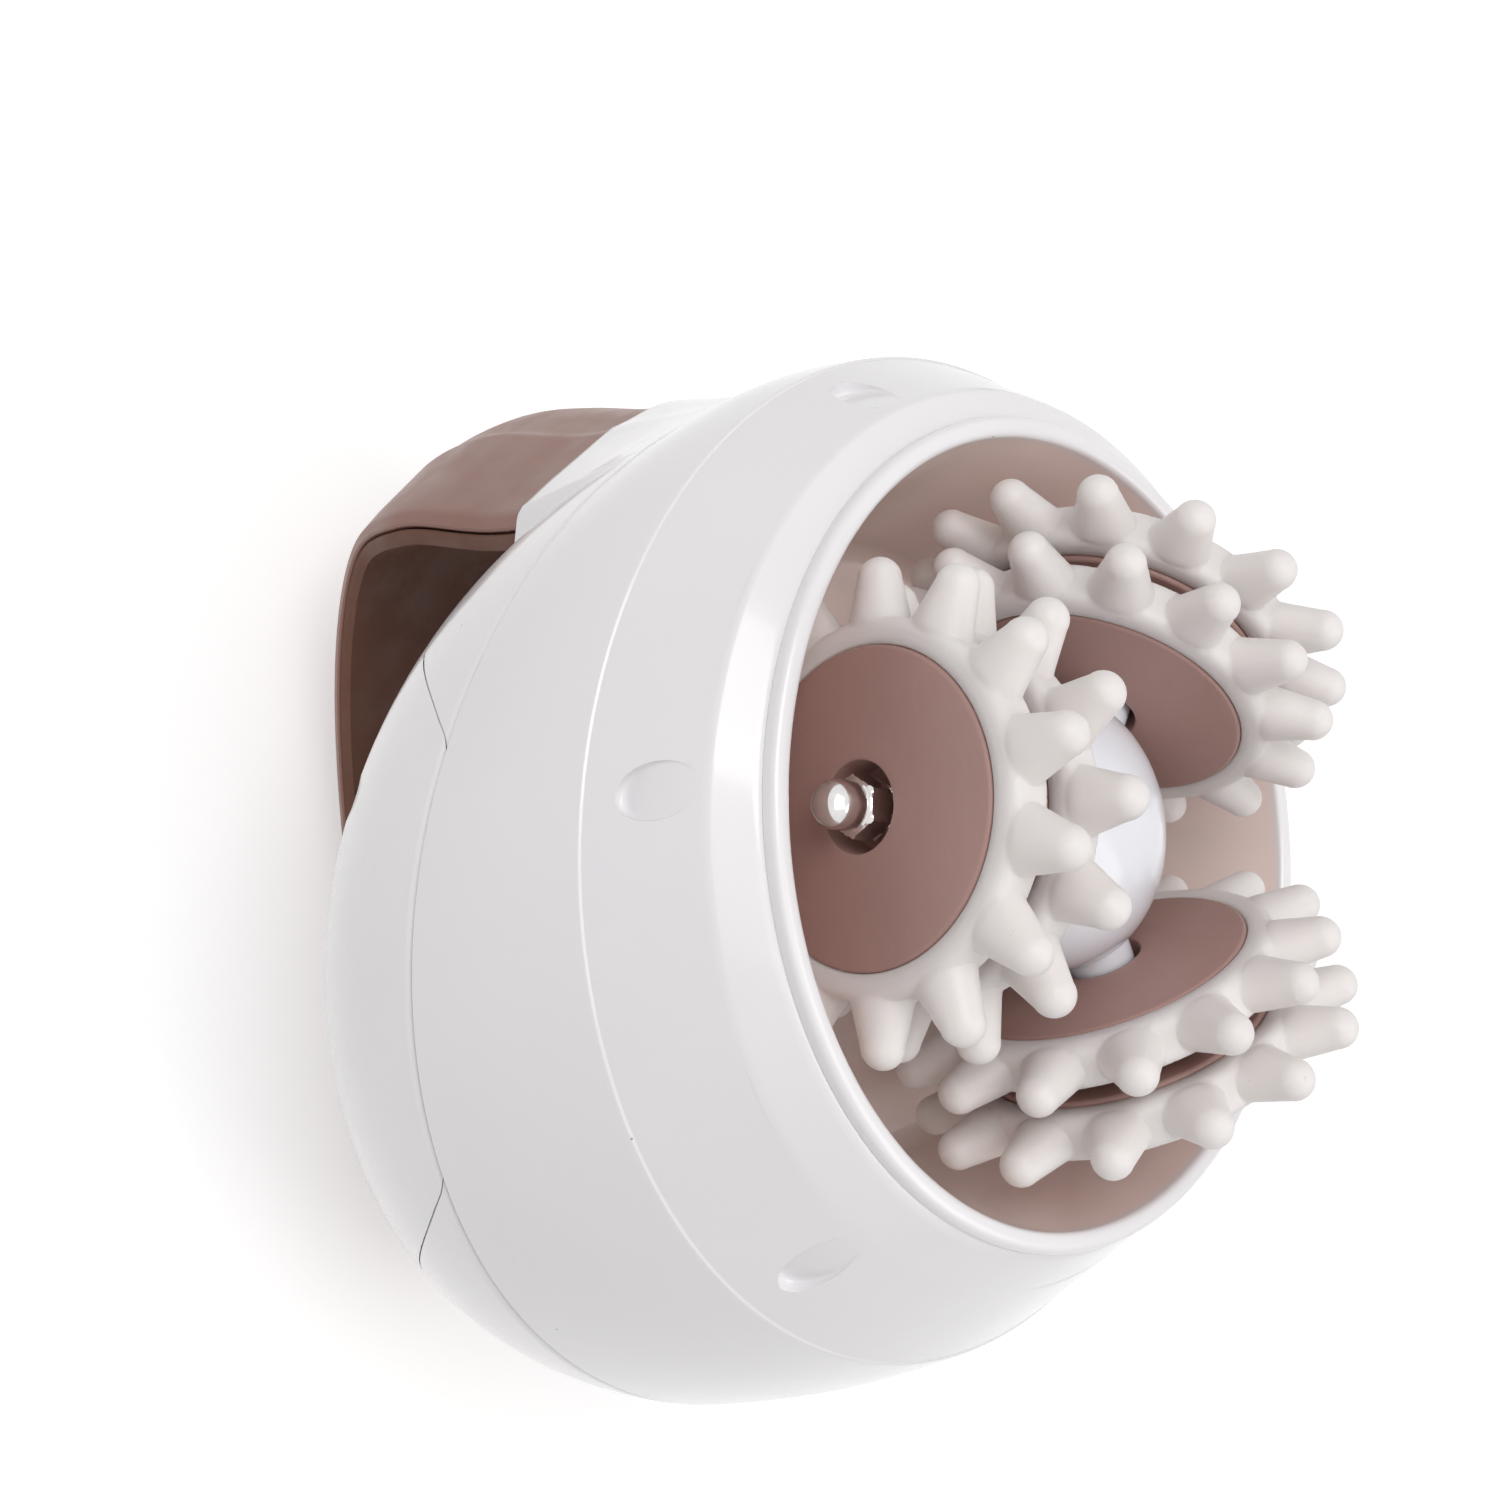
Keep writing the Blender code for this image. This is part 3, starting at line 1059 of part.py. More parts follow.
def make_rollers(taupe, silicone, steel, chrome, gloss, rotor_axis):
    """Three axles, each with a sleeve, two rollers, a spacer between them and a cap nut."""
    core, tyre, nut = core_mesh(taupe), tyre_mesh(silicone), nut_mesh(chrome)
    outer_start = ROLLER_START + ROLLER_SPACING
    nut_start = outer_start + ROLLER_WIDTH - CORE_RECESS_DEPTH + GAP
    for number in range(ARM_COUNT):
        arm = bpy.data.objects.new(f"arm_{number + 1}", None)
        bpy.context.scene.collection.objects.link(arm)
        arm.matrix_world = arm_frame(number)
        bpy.context.view_layer.update()
        attach(arm, rotor_axis)
        label, place = number + 1, axle_frame(number)
        pieces = [
            dress(rod(f"axle_{label}", AXLE_RADIUS, AXLE_START, nut_start + AXLE_IN_NUT, place), steel),
            dress(tube(f"axle_sleeve_{label}", AXLE_RADIUS + GAP, SLEEVE_RADIUS, SLEEVE_SEAT + GAP,
                       ROLLER_START + SLEEVE_IN_ROLLER, place), gloss),
            dress(tube(f"roller_spacer_{label}", AXLE_RADIUS + GAP, SPACER_RADIUS,
                       ROLLER_START + ROLLER_WIDTH + GAP, outer_start - GAP, place), steel),
            add_object(f"cap_nut_{label}", nut, axle_frame(number, nut_start)),
        ]
        for place_name, start, flip, phase in (("inner", ROLLER_START, math.pi, 0),
                                               ("outer", outer_start, 0, NUB_STEP / 2)):
            middle = axle_frame(number, start + ROLLER_WIDTH / 2)
            facing, phased = Matrix.Rotation(flip, 4, "X"), Matrix.Rotation(phase, 4, "Z")
            pieces.append(add_object(f"{place_name}_core_{label}", core, middle @ facing))
            pieces.append(add_object(f"{place_name}_tyre_{label}", tyre, middle @ phased))
        for piece in pieces:
            attach(piece, arm)


def build():
    """Make every piece of the massager."""
    clear_scene()
    white = finish("gloss_white", (0.86, 0.85, 0.85), 0.18)
    taupe = finish("taupe_plastic", (0.30, 0.21, 0.19), 0.45)
    brown = finish("brown_grip", (0.17, 0.09, 0.07), 0.50)
    silicone = finish("white_silicone", (0.82, 0.80, 0.77), 0.50)
    gloss = finish("hub_white", (0.88, 0.88, 0.90), 0.20)
    chrome = finish("chrome", (0.75, 0.75, 0.76), 0.12, 1.0)
    steel = finish("steel", (0.50, 0.50, 0.50), 0.35, 1.0)
    nylon = finish("gear_nylon", (0.78, 0.76, 0.68), 0.50)
    green = finish("board_green", (0.05, 0.22, 0.10), 0.50)
    black = finish("inlet_black", (0.03, 0.03, 0.03), 0.40)

    make_front_housing(white)
    make_roller_bowl(white)
    make_rear_housing(white)
    make_collar("handle_collar_upper", -1, white)
    make_collar("handle_collar_lower", 1, white)
    make_handle(taupe, brown)
    make_screws(steel)
    make_gear_plate(steel)
    make_bearings(steel)
    make_motor(steel, nylon)
    make_board(green)
    make_inlet(black)
    make_switch(white, taupe)

    rotor_axis = bpy.data.objects.new("rotor_axis", None)
    bpy.context.scene.collection.objects.link(rotor_axis)
    rotor_axis.matrix_world = ROTOR_FRAME
    bpy.context.view_layer.update()
    compound, pin = make_compound_gear(nylon)
    dress(pin, steel)
    for piece in (*make_drive(nylon, steel), *make_hub(gloss)):
        attach(piece, rotor_axis)
    make_rollers(taupe, silicone, steel, chrome, gloss, rotor_axis)


build()
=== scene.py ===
"""Looks of a hand-held roller massager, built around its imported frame.

Metres, +Z up. The massager stands on the crown of its strap handle with the rollers on top. Shapes are
surfaces worked out as whole numpy arrays: tilted ovals for the body, a swept section for the strap, turned
profiles for the hub, discs and nuts, and polar patches for the thumb recesses and the nubs of the tyres.
"""
import math

import bmesh
import bpy
import numpy as np
from bpy.props import FloatProperty, FloatVectorProperty, PointerProperty
from bpy.types import Operator, Panel, PropertyGroup
from mathutils import Matrix, Vector


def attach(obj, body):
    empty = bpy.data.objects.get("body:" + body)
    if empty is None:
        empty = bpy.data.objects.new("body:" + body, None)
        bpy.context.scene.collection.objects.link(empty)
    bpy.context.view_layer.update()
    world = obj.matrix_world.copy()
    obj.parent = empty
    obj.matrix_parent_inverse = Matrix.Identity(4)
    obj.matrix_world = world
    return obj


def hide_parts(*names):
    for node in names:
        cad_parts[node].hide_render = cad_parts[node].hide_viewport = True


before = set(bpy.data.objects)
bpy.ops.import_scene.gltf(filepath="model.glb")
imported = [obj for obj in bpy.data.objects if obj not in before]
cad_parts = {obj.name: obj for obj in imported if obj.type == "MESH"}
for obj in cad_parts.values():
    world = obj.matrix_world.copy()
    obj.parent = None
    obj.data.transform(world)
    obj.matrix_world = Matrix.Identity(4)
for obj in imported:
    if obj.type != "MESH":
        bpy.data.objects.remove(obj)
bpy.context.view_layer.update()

bl_info = {
    "name": "Roller massager",
    "version": (1, 0, 0),
    "blender": (4, 5, 0),
    "location": "View3D > Sidebar > Massager",
    "description": "Builds the casing, strap, rollers and finishes of a hand-held roller massager",
    "category": "Object",
}

# Height of the rim plane, the rotor's place along the strap, and the height under which the circuit board
# shows its parts
RIM_Z = 0.1485
ROTOR_Y = -0.003
BOARD_UNDER = RIM_Z - 0.0689

# Gap between moulded pieces, their wall, and the turn past which an edge is sharp
GAP = 0.0003
WALL = 0.0022
CREASE, NUT_CREASE, TYRE_CREASE = math.radians(33), math.radians(22), math.radians(50)

# Rings of the front housing: drop below the rim, shift, tilt and the two half widths
LIP_DROP, LIP_EDGE, LIP_WALL, LIP_DEEP = 0.0021, 0.0004, 0.0010, 0.0041
HOUSING_RINGS = (
    (LIP_DROP, 0.0, 0.0, 0.0562, 0.0562),
    (0.0067, 0.0005, math.radians(2.6), 0.0607, 0.0607),
    (0.0217, 0.0025, math.radians(4.0), 0.0682, 0.0705),
    (0.04955, 0.0082, math.radians(11.5), 0.0739, 0.0765),
)
HOUSING_BLENDS = ((0.09, 0.045), (0.028, 0.017))
BELLY_BULGE = 0.0010
SEAM_ROUND = 0.00035
BAND_LOW, BAND_HIGH = 1.03, 1.94
BAND_INSIDE = ((2.02, 0.0600), (1.5, 0.0588), (1.0, 0.0570))
RUNS_ABOVE = ((0, 0.85, 6), (0.87, BAND_LOW, 12))
RUNS_BELOW = ((BAND_HIGH, 1.98, 5), (1.983, 2.019, 14), (2.03, 2.985, 30))
RUNS_INSIDE = (3.0, 2.7, 2.4, 2.1)
RIDGE_STEP, STEP_FROM, STEP_RUN, STEP_FADE = 0.00030, 1.982, 0.014, 1.05
RECESS_TURN = math.radians(-11)
RECESS_COUNT, SECTOR_COLUMNS, SECTOR_ROWS = 6, 36, 12
SPREAD_OUT, SPREAD_IN = 1.4, 1.6
RECESS_AT, RECESS_SHARPNESS = 1.40, 18.0
RECESS_DEPTH, RECESS_LEAN, RECESS_POWER = 0.0023, math.radians(40), 1.8

# Rear dome, in the frame of the tilted seam: z = -depth
SEAM_TILT = math.radians(11.5)
SEAM_Y = ROTOR_Y + 0.0082
SEAM_Z = RIM_Z - 0.0497
SEAM_HALF_X, SEAM_HALF_Y = 0.0739, 0.0765
DOME_DEPTH = 0.0550
DOME_POWER = 2.5
DOME_LEAN = 0.0120
UPPER_FALL = 0.0022
BEVEL, BEVEL_DEPTH, BEVEL_SHARE = 0.0009, 0.0013, 0.98
CUT_OVER = 0.0040

# Collars and lugs
CRESCENT_X, CRESCENT_DEPTH, CRESCENT_POWER = 0.0684, 0.0330, 5.5
CRESCENT_FROM, CRESCENT_TO = 0.0240, 0.0960
LUG_DEPTH, LUG_HALF = 0.0285, 0.0358
LUG_CROWN = {-1: 0.0762, 1: 0.0824}
FLANK_FROM, FLANK_SLOPE = 0.985, 5.0
LUG_BLEND, LUG_MARGIN = 0.0016, 0.0060
FLANK_STEPS, COLLAR_RUNS = (-0.0012, 0.0018, 13), ((0, 0.055, 8), (0.08, 1, 26))
LUG_EDGE, LUG_EDGE_RUN, LUG_EDGE_SHARE = 0.0009, 0.0012, 0.99

# Strap
STRAP_Z, STRAP_SPAN, STRAP_RISE, STRAP_POWER = 0.0505, 0.0805, 0.0520, 2.6
STRAP_LEAN, LEAN_LENGTH = 0.0058, 0.0360
ROOT_UPPER, ROOT_LOWER = 0.0520, 0.0200
STRAP_HALF, STRAP_DROP, STRAP_INNER = 0.0350, 0.0202, 0.0140
STRAP_SKIN, GRIP_SKIN = 0.0026, 0.0030
STRAP_EDGE, GRIP_EDGE, GRIP_LIP = 0.0006, 0.0004, 0.0015
TRIM_ABOVE, TRIM_HALF, TRIM_CORNER = 0.080, 0.120, 0.001
CROWN_WIDTH_SHARE, CROWN_DEPTH_SHARE = 0.78, 0.85
STRAP_LINE = ((0.0, 0.0), (0.22, 0.03), (0.455, 0.232), (0.495, 0.25), (0.843, 0.683), (0.985, 0.88),
              (1.0, 1.0))
STRAP_BLENDS = ((0.10, 0.08), (0.012, 0.012), (0.012, 0.015), (0.03, 0.03), (0.008, 0.006))
STRAP_SHARES = (0.44, 0.455, 0.47, 0.483, 0.50, 0.513, 0.81, 0.826, 0.843, 0.86, 0.877, 0.977, 0.985)

# Bowl
BOWL_RADIUS, BOWL_DEPTH, BOWL_FLOOR, BOWL_FOOT = 0.0530, 0.0390, 0.0410, 0.0450
BOWL_FLANGE, BOWL_BORE, BOWL_SKIRT, BOWL_FOOT_ROUND = 0.0559, 0.0046, 0.00206, 0.0040
BOWL_FLAT, BOWL_UNDER, BOWL_HAUNCH = 0.0080, 0.0410, 0.0360
GROOVE_INNER, GROOVE_OUTER, GROOVE_SLOPE, GROOVE_DEPTH = 0.0105, 0.0125, 0.0003, 0.0004
BOSS_RADIUS, BOSS_BORE, BOSS_END, BOSS_LEDGE = 0.0103, 0.0081, 0.0463, 0.0010
UNDER_OUT, HAUNCH_OUT, SKIRT_OUT = 0.0010, 0.0020, 0.0012
# Where the painted warm bounce light inside the bowl fades in: distance past the bowl's radius, and depth
# below the rim
PAINTED_BOUNCE_OUT, PAINTED_BOUNCE_DOWN = (0.0008, 0.0002), (0.0003, 0.0022)

# Rotor
AXLE_DROP = 0.00305
ROTOR_TURN = math.radians(-9.35)
ARMS = 3
HUB_RADIUS, HUB_RISE, HUB_FALL, HUB_START = 0.0190, 0.0125, 0.0170, 0.05
STEM_RADIUS, STEM_LENGTH, STEM_BORE, STEM_CHAMFER = 0.0090, 0.03475, 0.0043, 0.0006
SLEEVE_FROM, SLEEVE_TO, SLEEVE_RADIUS, SLEEVE_BORE = 0.0160, 0.02385, 0.0046, 0.0024
SLEEVE_NOTCH, SLEEVE_LEDGE, SLEEVE_CUP, SLEEVE_NOTCHES = 0.0009, 0.0009, 0.0030, 12
WASHER_FROM, WASHER_TO, WASHER_RADIUS, FINE_EDGE = 0.0281, 0.0304, 0.0040, 0.0001
ROLLER_WIDTH, TYRE_WIDTH, TYRE_SHIFT, DISC_BACK = 0.0075, 0.0066, 0.00045, 0.0004
ROLLER_REACH = {"inner": 0.0246, "outer": 0.03395}
DISC_RADIUS, DISC_RECESS, DISC_RECESS_DEPTH, DISC_CROWN = 0.02018, 0.0058, 0.0050, 0.0010
DISC_EDGE, RECESS_EDGE, DISC_RELIEF = 0.0006, 0.0003, 0.0012
AXLE_HOLE = 0.0023
TYRE_BORE, TYRE_RADIUS, TYRE_SIDE, BORE_EDGE = 0.02026, 0.0238, 0.0008, 0.0003
NUB_COUNT, NUB_TIP = 14, 0.0319
NUB_STEP = 2 * math.pi / NUB_COUNT
NUB_FOOT, NUB_LOW, NUB_CONE, NUB_ROUND_FROM = 0.0002, -0.0001, 0.0007, 0.0291
NUT_REACH, NUT_LOW, NUT_HIGH, NUT_END = 0.0330, (0.0, 0.0029), (0.0031, 0.0070), 0.0127
NUT_CHAMFER, NUT_SLOPE, NUT_NECK, NUT_STEP, NUT_SIDES = 0.975, 1.7, 0.80, 0.00002, 144
NUT_ROWS_LOW, NUT_ROWS_HIGH = (0, 0.00012, 0.0003, 0.0005), (0.0006, 0.00035, 0.00015, 0)
NUT_BORE_TIP, NUT_BORE, NUT_FILLET_OUT, NUT_FILLET_UP = 0.0080, 0.0078, 0.00025, 0.0002

# Side switch and inlet on the dome
INLET_DEPTH, INLET_RADIUS, INLET_PROUD, INLET_LENGTH = 0.0185, 0.0052, 0.0006, 0.0120
INLET_EDGE, SOCKET_EDGE, PIN_EDGE, PIN_POINT = 0.0003, 0.0004, 0.0003, 0.0005
SOCKET_RADIUS, SOCKET_DEPTH, SOCKET_PIN, SOCKET_TIP = 0.0030, 0.0090, 0.0011, 0.0015
SWITCH_DEPTH, SWITCH_PROUD, PIVOT_SINK = 0.0330, 0.0010, 0.0025
SWITCH_LENGTH, SWITCH_WIDTH, SWITCH_HEIGHT = 0.0210, 0.0130, 0.0130
SWITCH_CORNER, HOLE_CORNER, SWITCH_FOOT, SWITCH_RIM, WINDOW_RIM = 0.0013, 0.0014, 0.0003, 0.0004, 0.0002
WINDOW_LENGTH, WINDOW_WIDTH, WINDOW_DEPTH, WINDOW_CORNER = 0.0164, 0.0092, 0.0085, 0.0006
ROCKER_LENGTH, ROCKER_WIDTH, ROCKER_TILT = 0.0142, 0.0084, math.radians(8)
ROCKER_FACE, ROCKER_DISH, ROCKER_SHOULDER = 0.0022, 0.0012, 0.0032
ROCKER_ENDS = ((1, 0.0004), (0.96, FINE_EDGE), (0.9, 0))
HEEL_SHARE, HEEL_SINK, HEEL_DEPTH = 0.98, 0.0016, 0.0030
MARK_AT, MARK_HIGH, MARK_SINK = 0.62, 0.00012, 0.00004
MARK_RING, MARK_BAR, MARK_CORNER = (0.00085, 0.00125), (0.0012, 0.0002), 0.00015

# Screws in the dome's wells
SCREW_CIRCLE, SCREW_TURN, SCREW_SEAT = 0.0655, math.radians(16), 0.0038
WELL_RADIUS, HEAD_RADIUS, HEAD_HEIGHT = 0.0046, 0.0030, 0.0020
WELL_FOOT, BORE_FOOT, BORE_RADIUS, WELL_OVER = 0.0560, 0.0600, 0.0018, 0.0020
HEAD_WALL, HEAD_TOP, HEAD_EDGE, HEAD_START = 0.35, 0.65, 0.30, 0.15
THREAD_RADIUS, THREAD_LENGTH, THREAD_POINT, THREAD_TIP, POINT_RADIUS = 0.0015, 0.0128, 0.0136, 0.0138, 0.0008
CROSS_HALF, CROSS_REACH, CROSS_DEPTH, CROSS_OVER, CROSS_CORNER = 0.00045, 0.0017, 0.0012, 0.001, 0.0002

# Linear colours of the metals and of the floor
CHROME, ZINC, MOTOR_CAN = (0.80, 0.79, 0.78), (0.60, 0.60, 0.61), (0.48, 0.48, 0.50)
WASHER_STEEL, SCREW_STEEL, TURNED_STEEL = (0.46, 0.45, 0.44), (0.55, 0.54, 0.53), (0.52, 0.51, 0.50)
FLOOR_DARK, FLOOR_LIGHT = (0.78, 0.78, 0.78), (0.80, 0.80, 0.80)

# Camera: place and axes in the frame, and its lens on a 36 mm sensor
CAMERA_PLACE = (0.2180, -0.0119, 0.3112)
CAMERA_RIGHT = (-0.7110, 0.1144, 0.6939)
CAMERA_UP = (-0.0652, -0.9932, 0.0970)
CAMERA_BACK = (0.7002, 0.0237, 0.7136)
CAMERA_LENS, CAMERA_SENSOR, CAMERA_CLIP = 48.0, 36.0, 0.01

# Stage: floor, world and lamps. A lamp has a name, its direction along the camera's three axes, distance,
# size and power
RAYS = ("Is Camera Ray", "Is Glossy Ray", "Is Transmission Ray")
FLOOR_HALF, FLOOR_GLOW_NEAR, FLOOR_GLOW_FAR, GLOW_FROM, GLOW_TO = 3.0, 0.45, 0.75, 0.35, 1.6
WORLD_LIGHT, WORLD_SEEN, WORLD_COLOUR = 0.42, 1.0, (1.0, 0.99, 0.985, 1.0)
LAMP_MIDDLE = (0, 0, 0.11)
LAMPS = (
    ("key", (0.25, 0.42, 0.87), 0.9, 0.50, 2.5),
    ("fill", (0.25, 0.05, 0.97), 1.0, 0.8, 2.05),
    ("low", (0.88, -0.28, 0.40), 1.0, 0.7, 2.4),
)


def paint(red, green, blue):
    """Linear colour from display values of 0 to 255."""
    shares = np.array([red, green, blue]) / 255
    return tuple(np.where(shares <= 0.04045, shares / 12.92, ((shares + 0.055) / 1.055) ** 2.4))


# Sizes and colours that a user would change

class MassagerSizes(PropertyGroup):
    """Sizes of the shapes that the frame leaves open."""
    recess_high: FloatProperty(name="Recess height", description="Half height of a thumb recess",
                               default=0.0050, unit="LENGTH")
    recess_wide: FloatProperty(name="Recess width", description="Half width of a thumb recess",
                               default=0.0035, unit="LENGTH")
    lip_round: FloatProperty(name="Lip rounding", description="Radius along the bowl's lip",
                             default=0.0011, unit="LENGTH")
    tyre_round: FloatProperty(name="Tyre rounding", description="Radius of a tyre's two edges",
                              default=0.0015, unit="LENGTH")
    nub_base: FloatProperty(name="Nub foot", description="Radius of a nub where its cone starts",
                            default=0.0035, unit="LENGTH")
    nub_round: FloatProperty(name="Nub spread", description="How much wider a foot is round the tyre",
                             default=0.0008, unit="LENGTH")
    nub_tip: FloatProperty(name="Nub tip", description="Radius of a nub where its round tip starts",
                           default=0.0028, unit="LENGTH")
    disc_proud: FloatProperty(name="Disc proud", description="How far a disc stands over its tyre",
                              default=0.0002, unit="LENGTH")
    nut_flats: FloatProperty(name="Nut flats", description="Half the width across a nut's flats",
                             default=0.0035, unit="LENGTH")
    nut_dome: FloatProperty(name="Nut dome", description="Radius of a nut's domed end",
                            default=0.0031, unit="LENGTH")


class MassagerColours(PropertyGroup):
    """Colours of the finishes."""
    casing: FloatVectorProperty(name="Casing", description="Glossy white of the body", subtype="COLOR",
                                default=paint(236, 234, 236), min=0, max=1)
    # Painted warm bounce light from the taupe discs, laid over the casing's white on the wall and floor
    # inside the bowl
    bowl: FloatVectorProperty(name="Bowl", description="Tinted wall inside the bowl", subtype="COLOR",
                              default=paint(250, 230, 223), min=0, max=1)
    disc: FloatVectorProperty(name="Discs", description="Taupe of the roller discs", subtype="COLOR",
                              default=paint(170, 136, 129), min=0, max=1)
    strap: FloatVectorProperty(name="Strap", description="Taupe of the strap's skin", subtype="COLOR",
                               default=paint(142, 104, 93), min=0, max=1)
    grip: FloatVectorProperty(name="Grip", description="Brown of the strap's inner grip", subtype="COLOR",
                              default=paint(104, 70, 56), min=0, max=1)
    silicone: FloatVectorProperty(name="Silicone", description="Milky white of the tyres", subtype="COLOR",
                                  default=paint(231, 226, 224), min=0, max=1)
    hub: FloatVectorProperty(name="Hub", description="Cool white of the hub", subtype="COLOR",
                             default=paint(231, 232, 238), min=0, max=1)


def sizes():
    """The scene's size settings."""
    return bpy.context.scene.massager_sizes


def colours():
    """The scene's colour settings."""
    return bpy.context.scene.massager_colours


# Shader graphs

class Value:
    """A socket of a shader graph that adds a Math node wherever it stands in an expression."""

    def __init__(self, graph, socket):
        self.graph, self.socket = graph, socket

    def calc(self, operation, first, second=0.0):
        return self.graph.node("ShaderNodeMath", {"operation": operation}, {0: first, 1: second})

    def __add__(self, other):
        return self.calc("ADD", self, other)

    def __sub__(self, other):
        return self.calc("SUBTRACT", self, other)

    def __rsub__(self, other):
        return self.calc("SUBTRACT", other, self)

    def __mul__(self, other):
        return self.calc("MULTIPLY", self, other)

    def __pow__(self, other):
        return self.calc("POWER", self, other)

    def __rpow__(self, other):
        return self.calc("POWER", other, self)

    def __lt__(self, other):
        return self.calc("LESS_THAN", self, other)

    def __gt__(self, other):
        return self.calc("GREATER_THAN", self, other)

    __radd__ = __add__
    __rmul__ = __mul__


class Graph:
    """A material with a Principled shader. Constants go on the shader's own sockets."""

    def __init__(self, name, **constants):
        self.material = bpy.data.materials.new(name)
        self.material.use_nodes = True
        self.tree = self.material.node_tree
        self.shader = self.tree.nodes["Principled BSDF"]
        for key, value in constants.items():
            self.shader.inputs[key.replace("_", " ")].default_value = value
        self.place = self.node("ShaderNodeTexCoord", output="Object")

    def node(self, kind, settings=None, inputs=None, output=0):
        """Add a node: its settings first, then the values or links of its sockets."""
        node = self.tree.nodes.new(kind)
        for key, value in (settings or {}).items():
            setattr(node, key, value)
        for key, value in (inputs or {}).items():
            if isinstance(value, Value):
                self.tree.links.new(value.socket, node.inputs[key])
            else:
                node.inputs[key].default_value = value
        return Value(self, node.outputs[output])

    def noise(self, scale, detail, stretch=None):
        """Smooth noise of 0 to 1; scale is in waves per metre, stretch squeezes it along the axes."""
        place = self.place
        if stretch:
            place = self.node("ShaderNodeMapping", {}, {"Vector": place, "Scale": stretch})
        return self.node("ShaderNodeTexNoise", {}, {"Vector": place, "Scale": scale, "Detail": detail})

    def cells(self, scale):
        """Distance to the nearest of scattered points."""
        return self.node("ShaderNodeTexVoronoi", {}, {"Vector": self.place, "Scale": scale}, "Distance")

    def ramp(self, value, low, high, start=0.0, end=1.0):
        """Value from low to high brought to start to end, and held there beyond."""
        return self.node("ShaderNodeMapRange", {"interpolation_type": "SMOOTHSTEP"},
                         {"Value": value, "From Min": low, "From Max": high, "To Min": start, "To Max": end})

    def mix(self, factor, first, second):
        """Colour between two colours."""
        first, second = (c if isinstance(c, Value) else (*c, 1.0) for c in (first, second))
        return self.node("ShaderNodeMix", {"data_type": "RGBA"}, {0: factor, 6: first, 7: second}, 2)

    def split(self):
        """The three Object coordinates."""
        node = self.tree.nodes.new("ShaderNodeSeparateXYZ")
        self.tree.links.new(self.place.socket, node.inputs[0])
        return [Value(self, node.outputs[i]) for i in range(3)]

    def feed(self, key, value):
        """Link a value to one of the shader's sockets."""
        self.tree.links.new(value.socket, self.shader.inputs[key])

    def emboss(self, height, depth):
        """Raise the surface by a height field of 0 to 1 times a depth in metres."""
        bump = self.node("ShaderNodeBump", {}, {"Height": height, "Distance": depth, "Strength": 1.0})
        self.feed("Normal", bump)


def shade(colour, share):
    """A colour made lighter or darker by a share."""
    return tuple(min(1.0, c * (1 + share)) for c in colour)


def moulded(name, colour, roughness, grain, depth, tone, colour_to=None, mask=None, **constants):
    """Moulded plastic: slow mottling of the colour, uneven gloss and a fine grain of a scale and depth."""
    graph = Graph(name, **constants)
    slow = graph.noise(24, 3)
    base = graph.mix(graph.ramp(slow, 0.35, 0.65), shade(colour, -tone), shade(colour, tone))
    if colour_to is not None:
        base = graph.mix(mask(graph), base, colour_to)
    rub = graph.noise(140, 4)
    graph.feed("Roughness", graph.ramp(rub, 0.3, 0.7, roughness * 0.86, roughness * 1.16))
    graph.emboss(graph.noise(grain, 3), depth)
    return graph, base


def casing_finish(name, colour, **extra):
    """Glossy white plastic with a faint orange peel, rare dark specks and tiny scuffs."""
    graph, base = moulded(name, colour, roughness=0.20, grain=420, depth=0.000012, tone=0.012,
                          Coat_Weight=0.35, Coat_Roughness=0.06, **extra)
    specks = (graph.cells(210) < 0.035) * (graph.noise(60, 1) > 0.60)
    base = graph.mix(specks, base, shade(colour, -0.55))
    graph.feed("Base Color", base)
    return graph.material


def satin_finish(name, colour, roughness=0.42, scuffs=0.5):
    """Satin taupe or brown plastic with a spark-eroded grain, faint flow marks and pale scuffs."""
    graph, base = moulded(name, colour, roughness, grain=2600, depth=0.000035, tone=0.035,
                          Specular_IOR_Level=0.35)
    flow = graph.noise(90, 2, stretch=(1.0, 1.0, 6.0))
    base = graph.mix(graph.ramp(flow, 0.45, 0.75, 0.0, 0.12), base, shade(colour, 0.14))
    marks = graph.ramp(graph.noise(900, 5), 0.70, 0.78) * graph.ramp(graph.noise(55, 2), 0.60, 0.70)
    base = graph.mix(marks * scuffs, base, shade(colour, 0.55))
    graph.feed("Base Color", base)
    return graph.material


def silicone_finish(colour):
    """Milky silicone that lets light through, with soft bloom and a matt skin."""
    graph, base = moulded("milky_silicone", colour, roughness=0.44, grain=1500, depth=0.000030, tone=0.015,
                          Subsurface_Weight=0.60, Subsurface_Radius=(1.0, 0.92, 0.86),
                          Subsurface_Scale=0.0045, Specular_IOR_Level=0.40, Sheen_Weight=0.10)
    dust = graph.ramp(graph.noise(700, 5), 0.68, 0.76) * graph.ramp(graph.noise(70, 2), 0.55, 0.70)
    base = graph.mix(dust * 0.35, base, shade(colour, -0.35))
    graph.feed("Base Color", base)
    return graph.material


def metal_finish(name, colour, roughness, grain=700, depth=0.000004, stretch=None):
    """Bare or plated metal with fine scratches and an uneven shine."""
    graph = Graph(name, Metallic=1.0)
    lines = graph.noise(grain, 4, stretch=stretch)
    graph.feed("Base Color", graph.mix(graph.ramp(lines, 0.35, 0.7), shade(colour, -0.08), colour))
    graph.feed("Roughness", graph.ramp(graph.noise(260, 3), 0.3, 0.7, roughness * 0.7, roughness * 1.4))
    graph.emboss(lines, depth)
    return graph.material


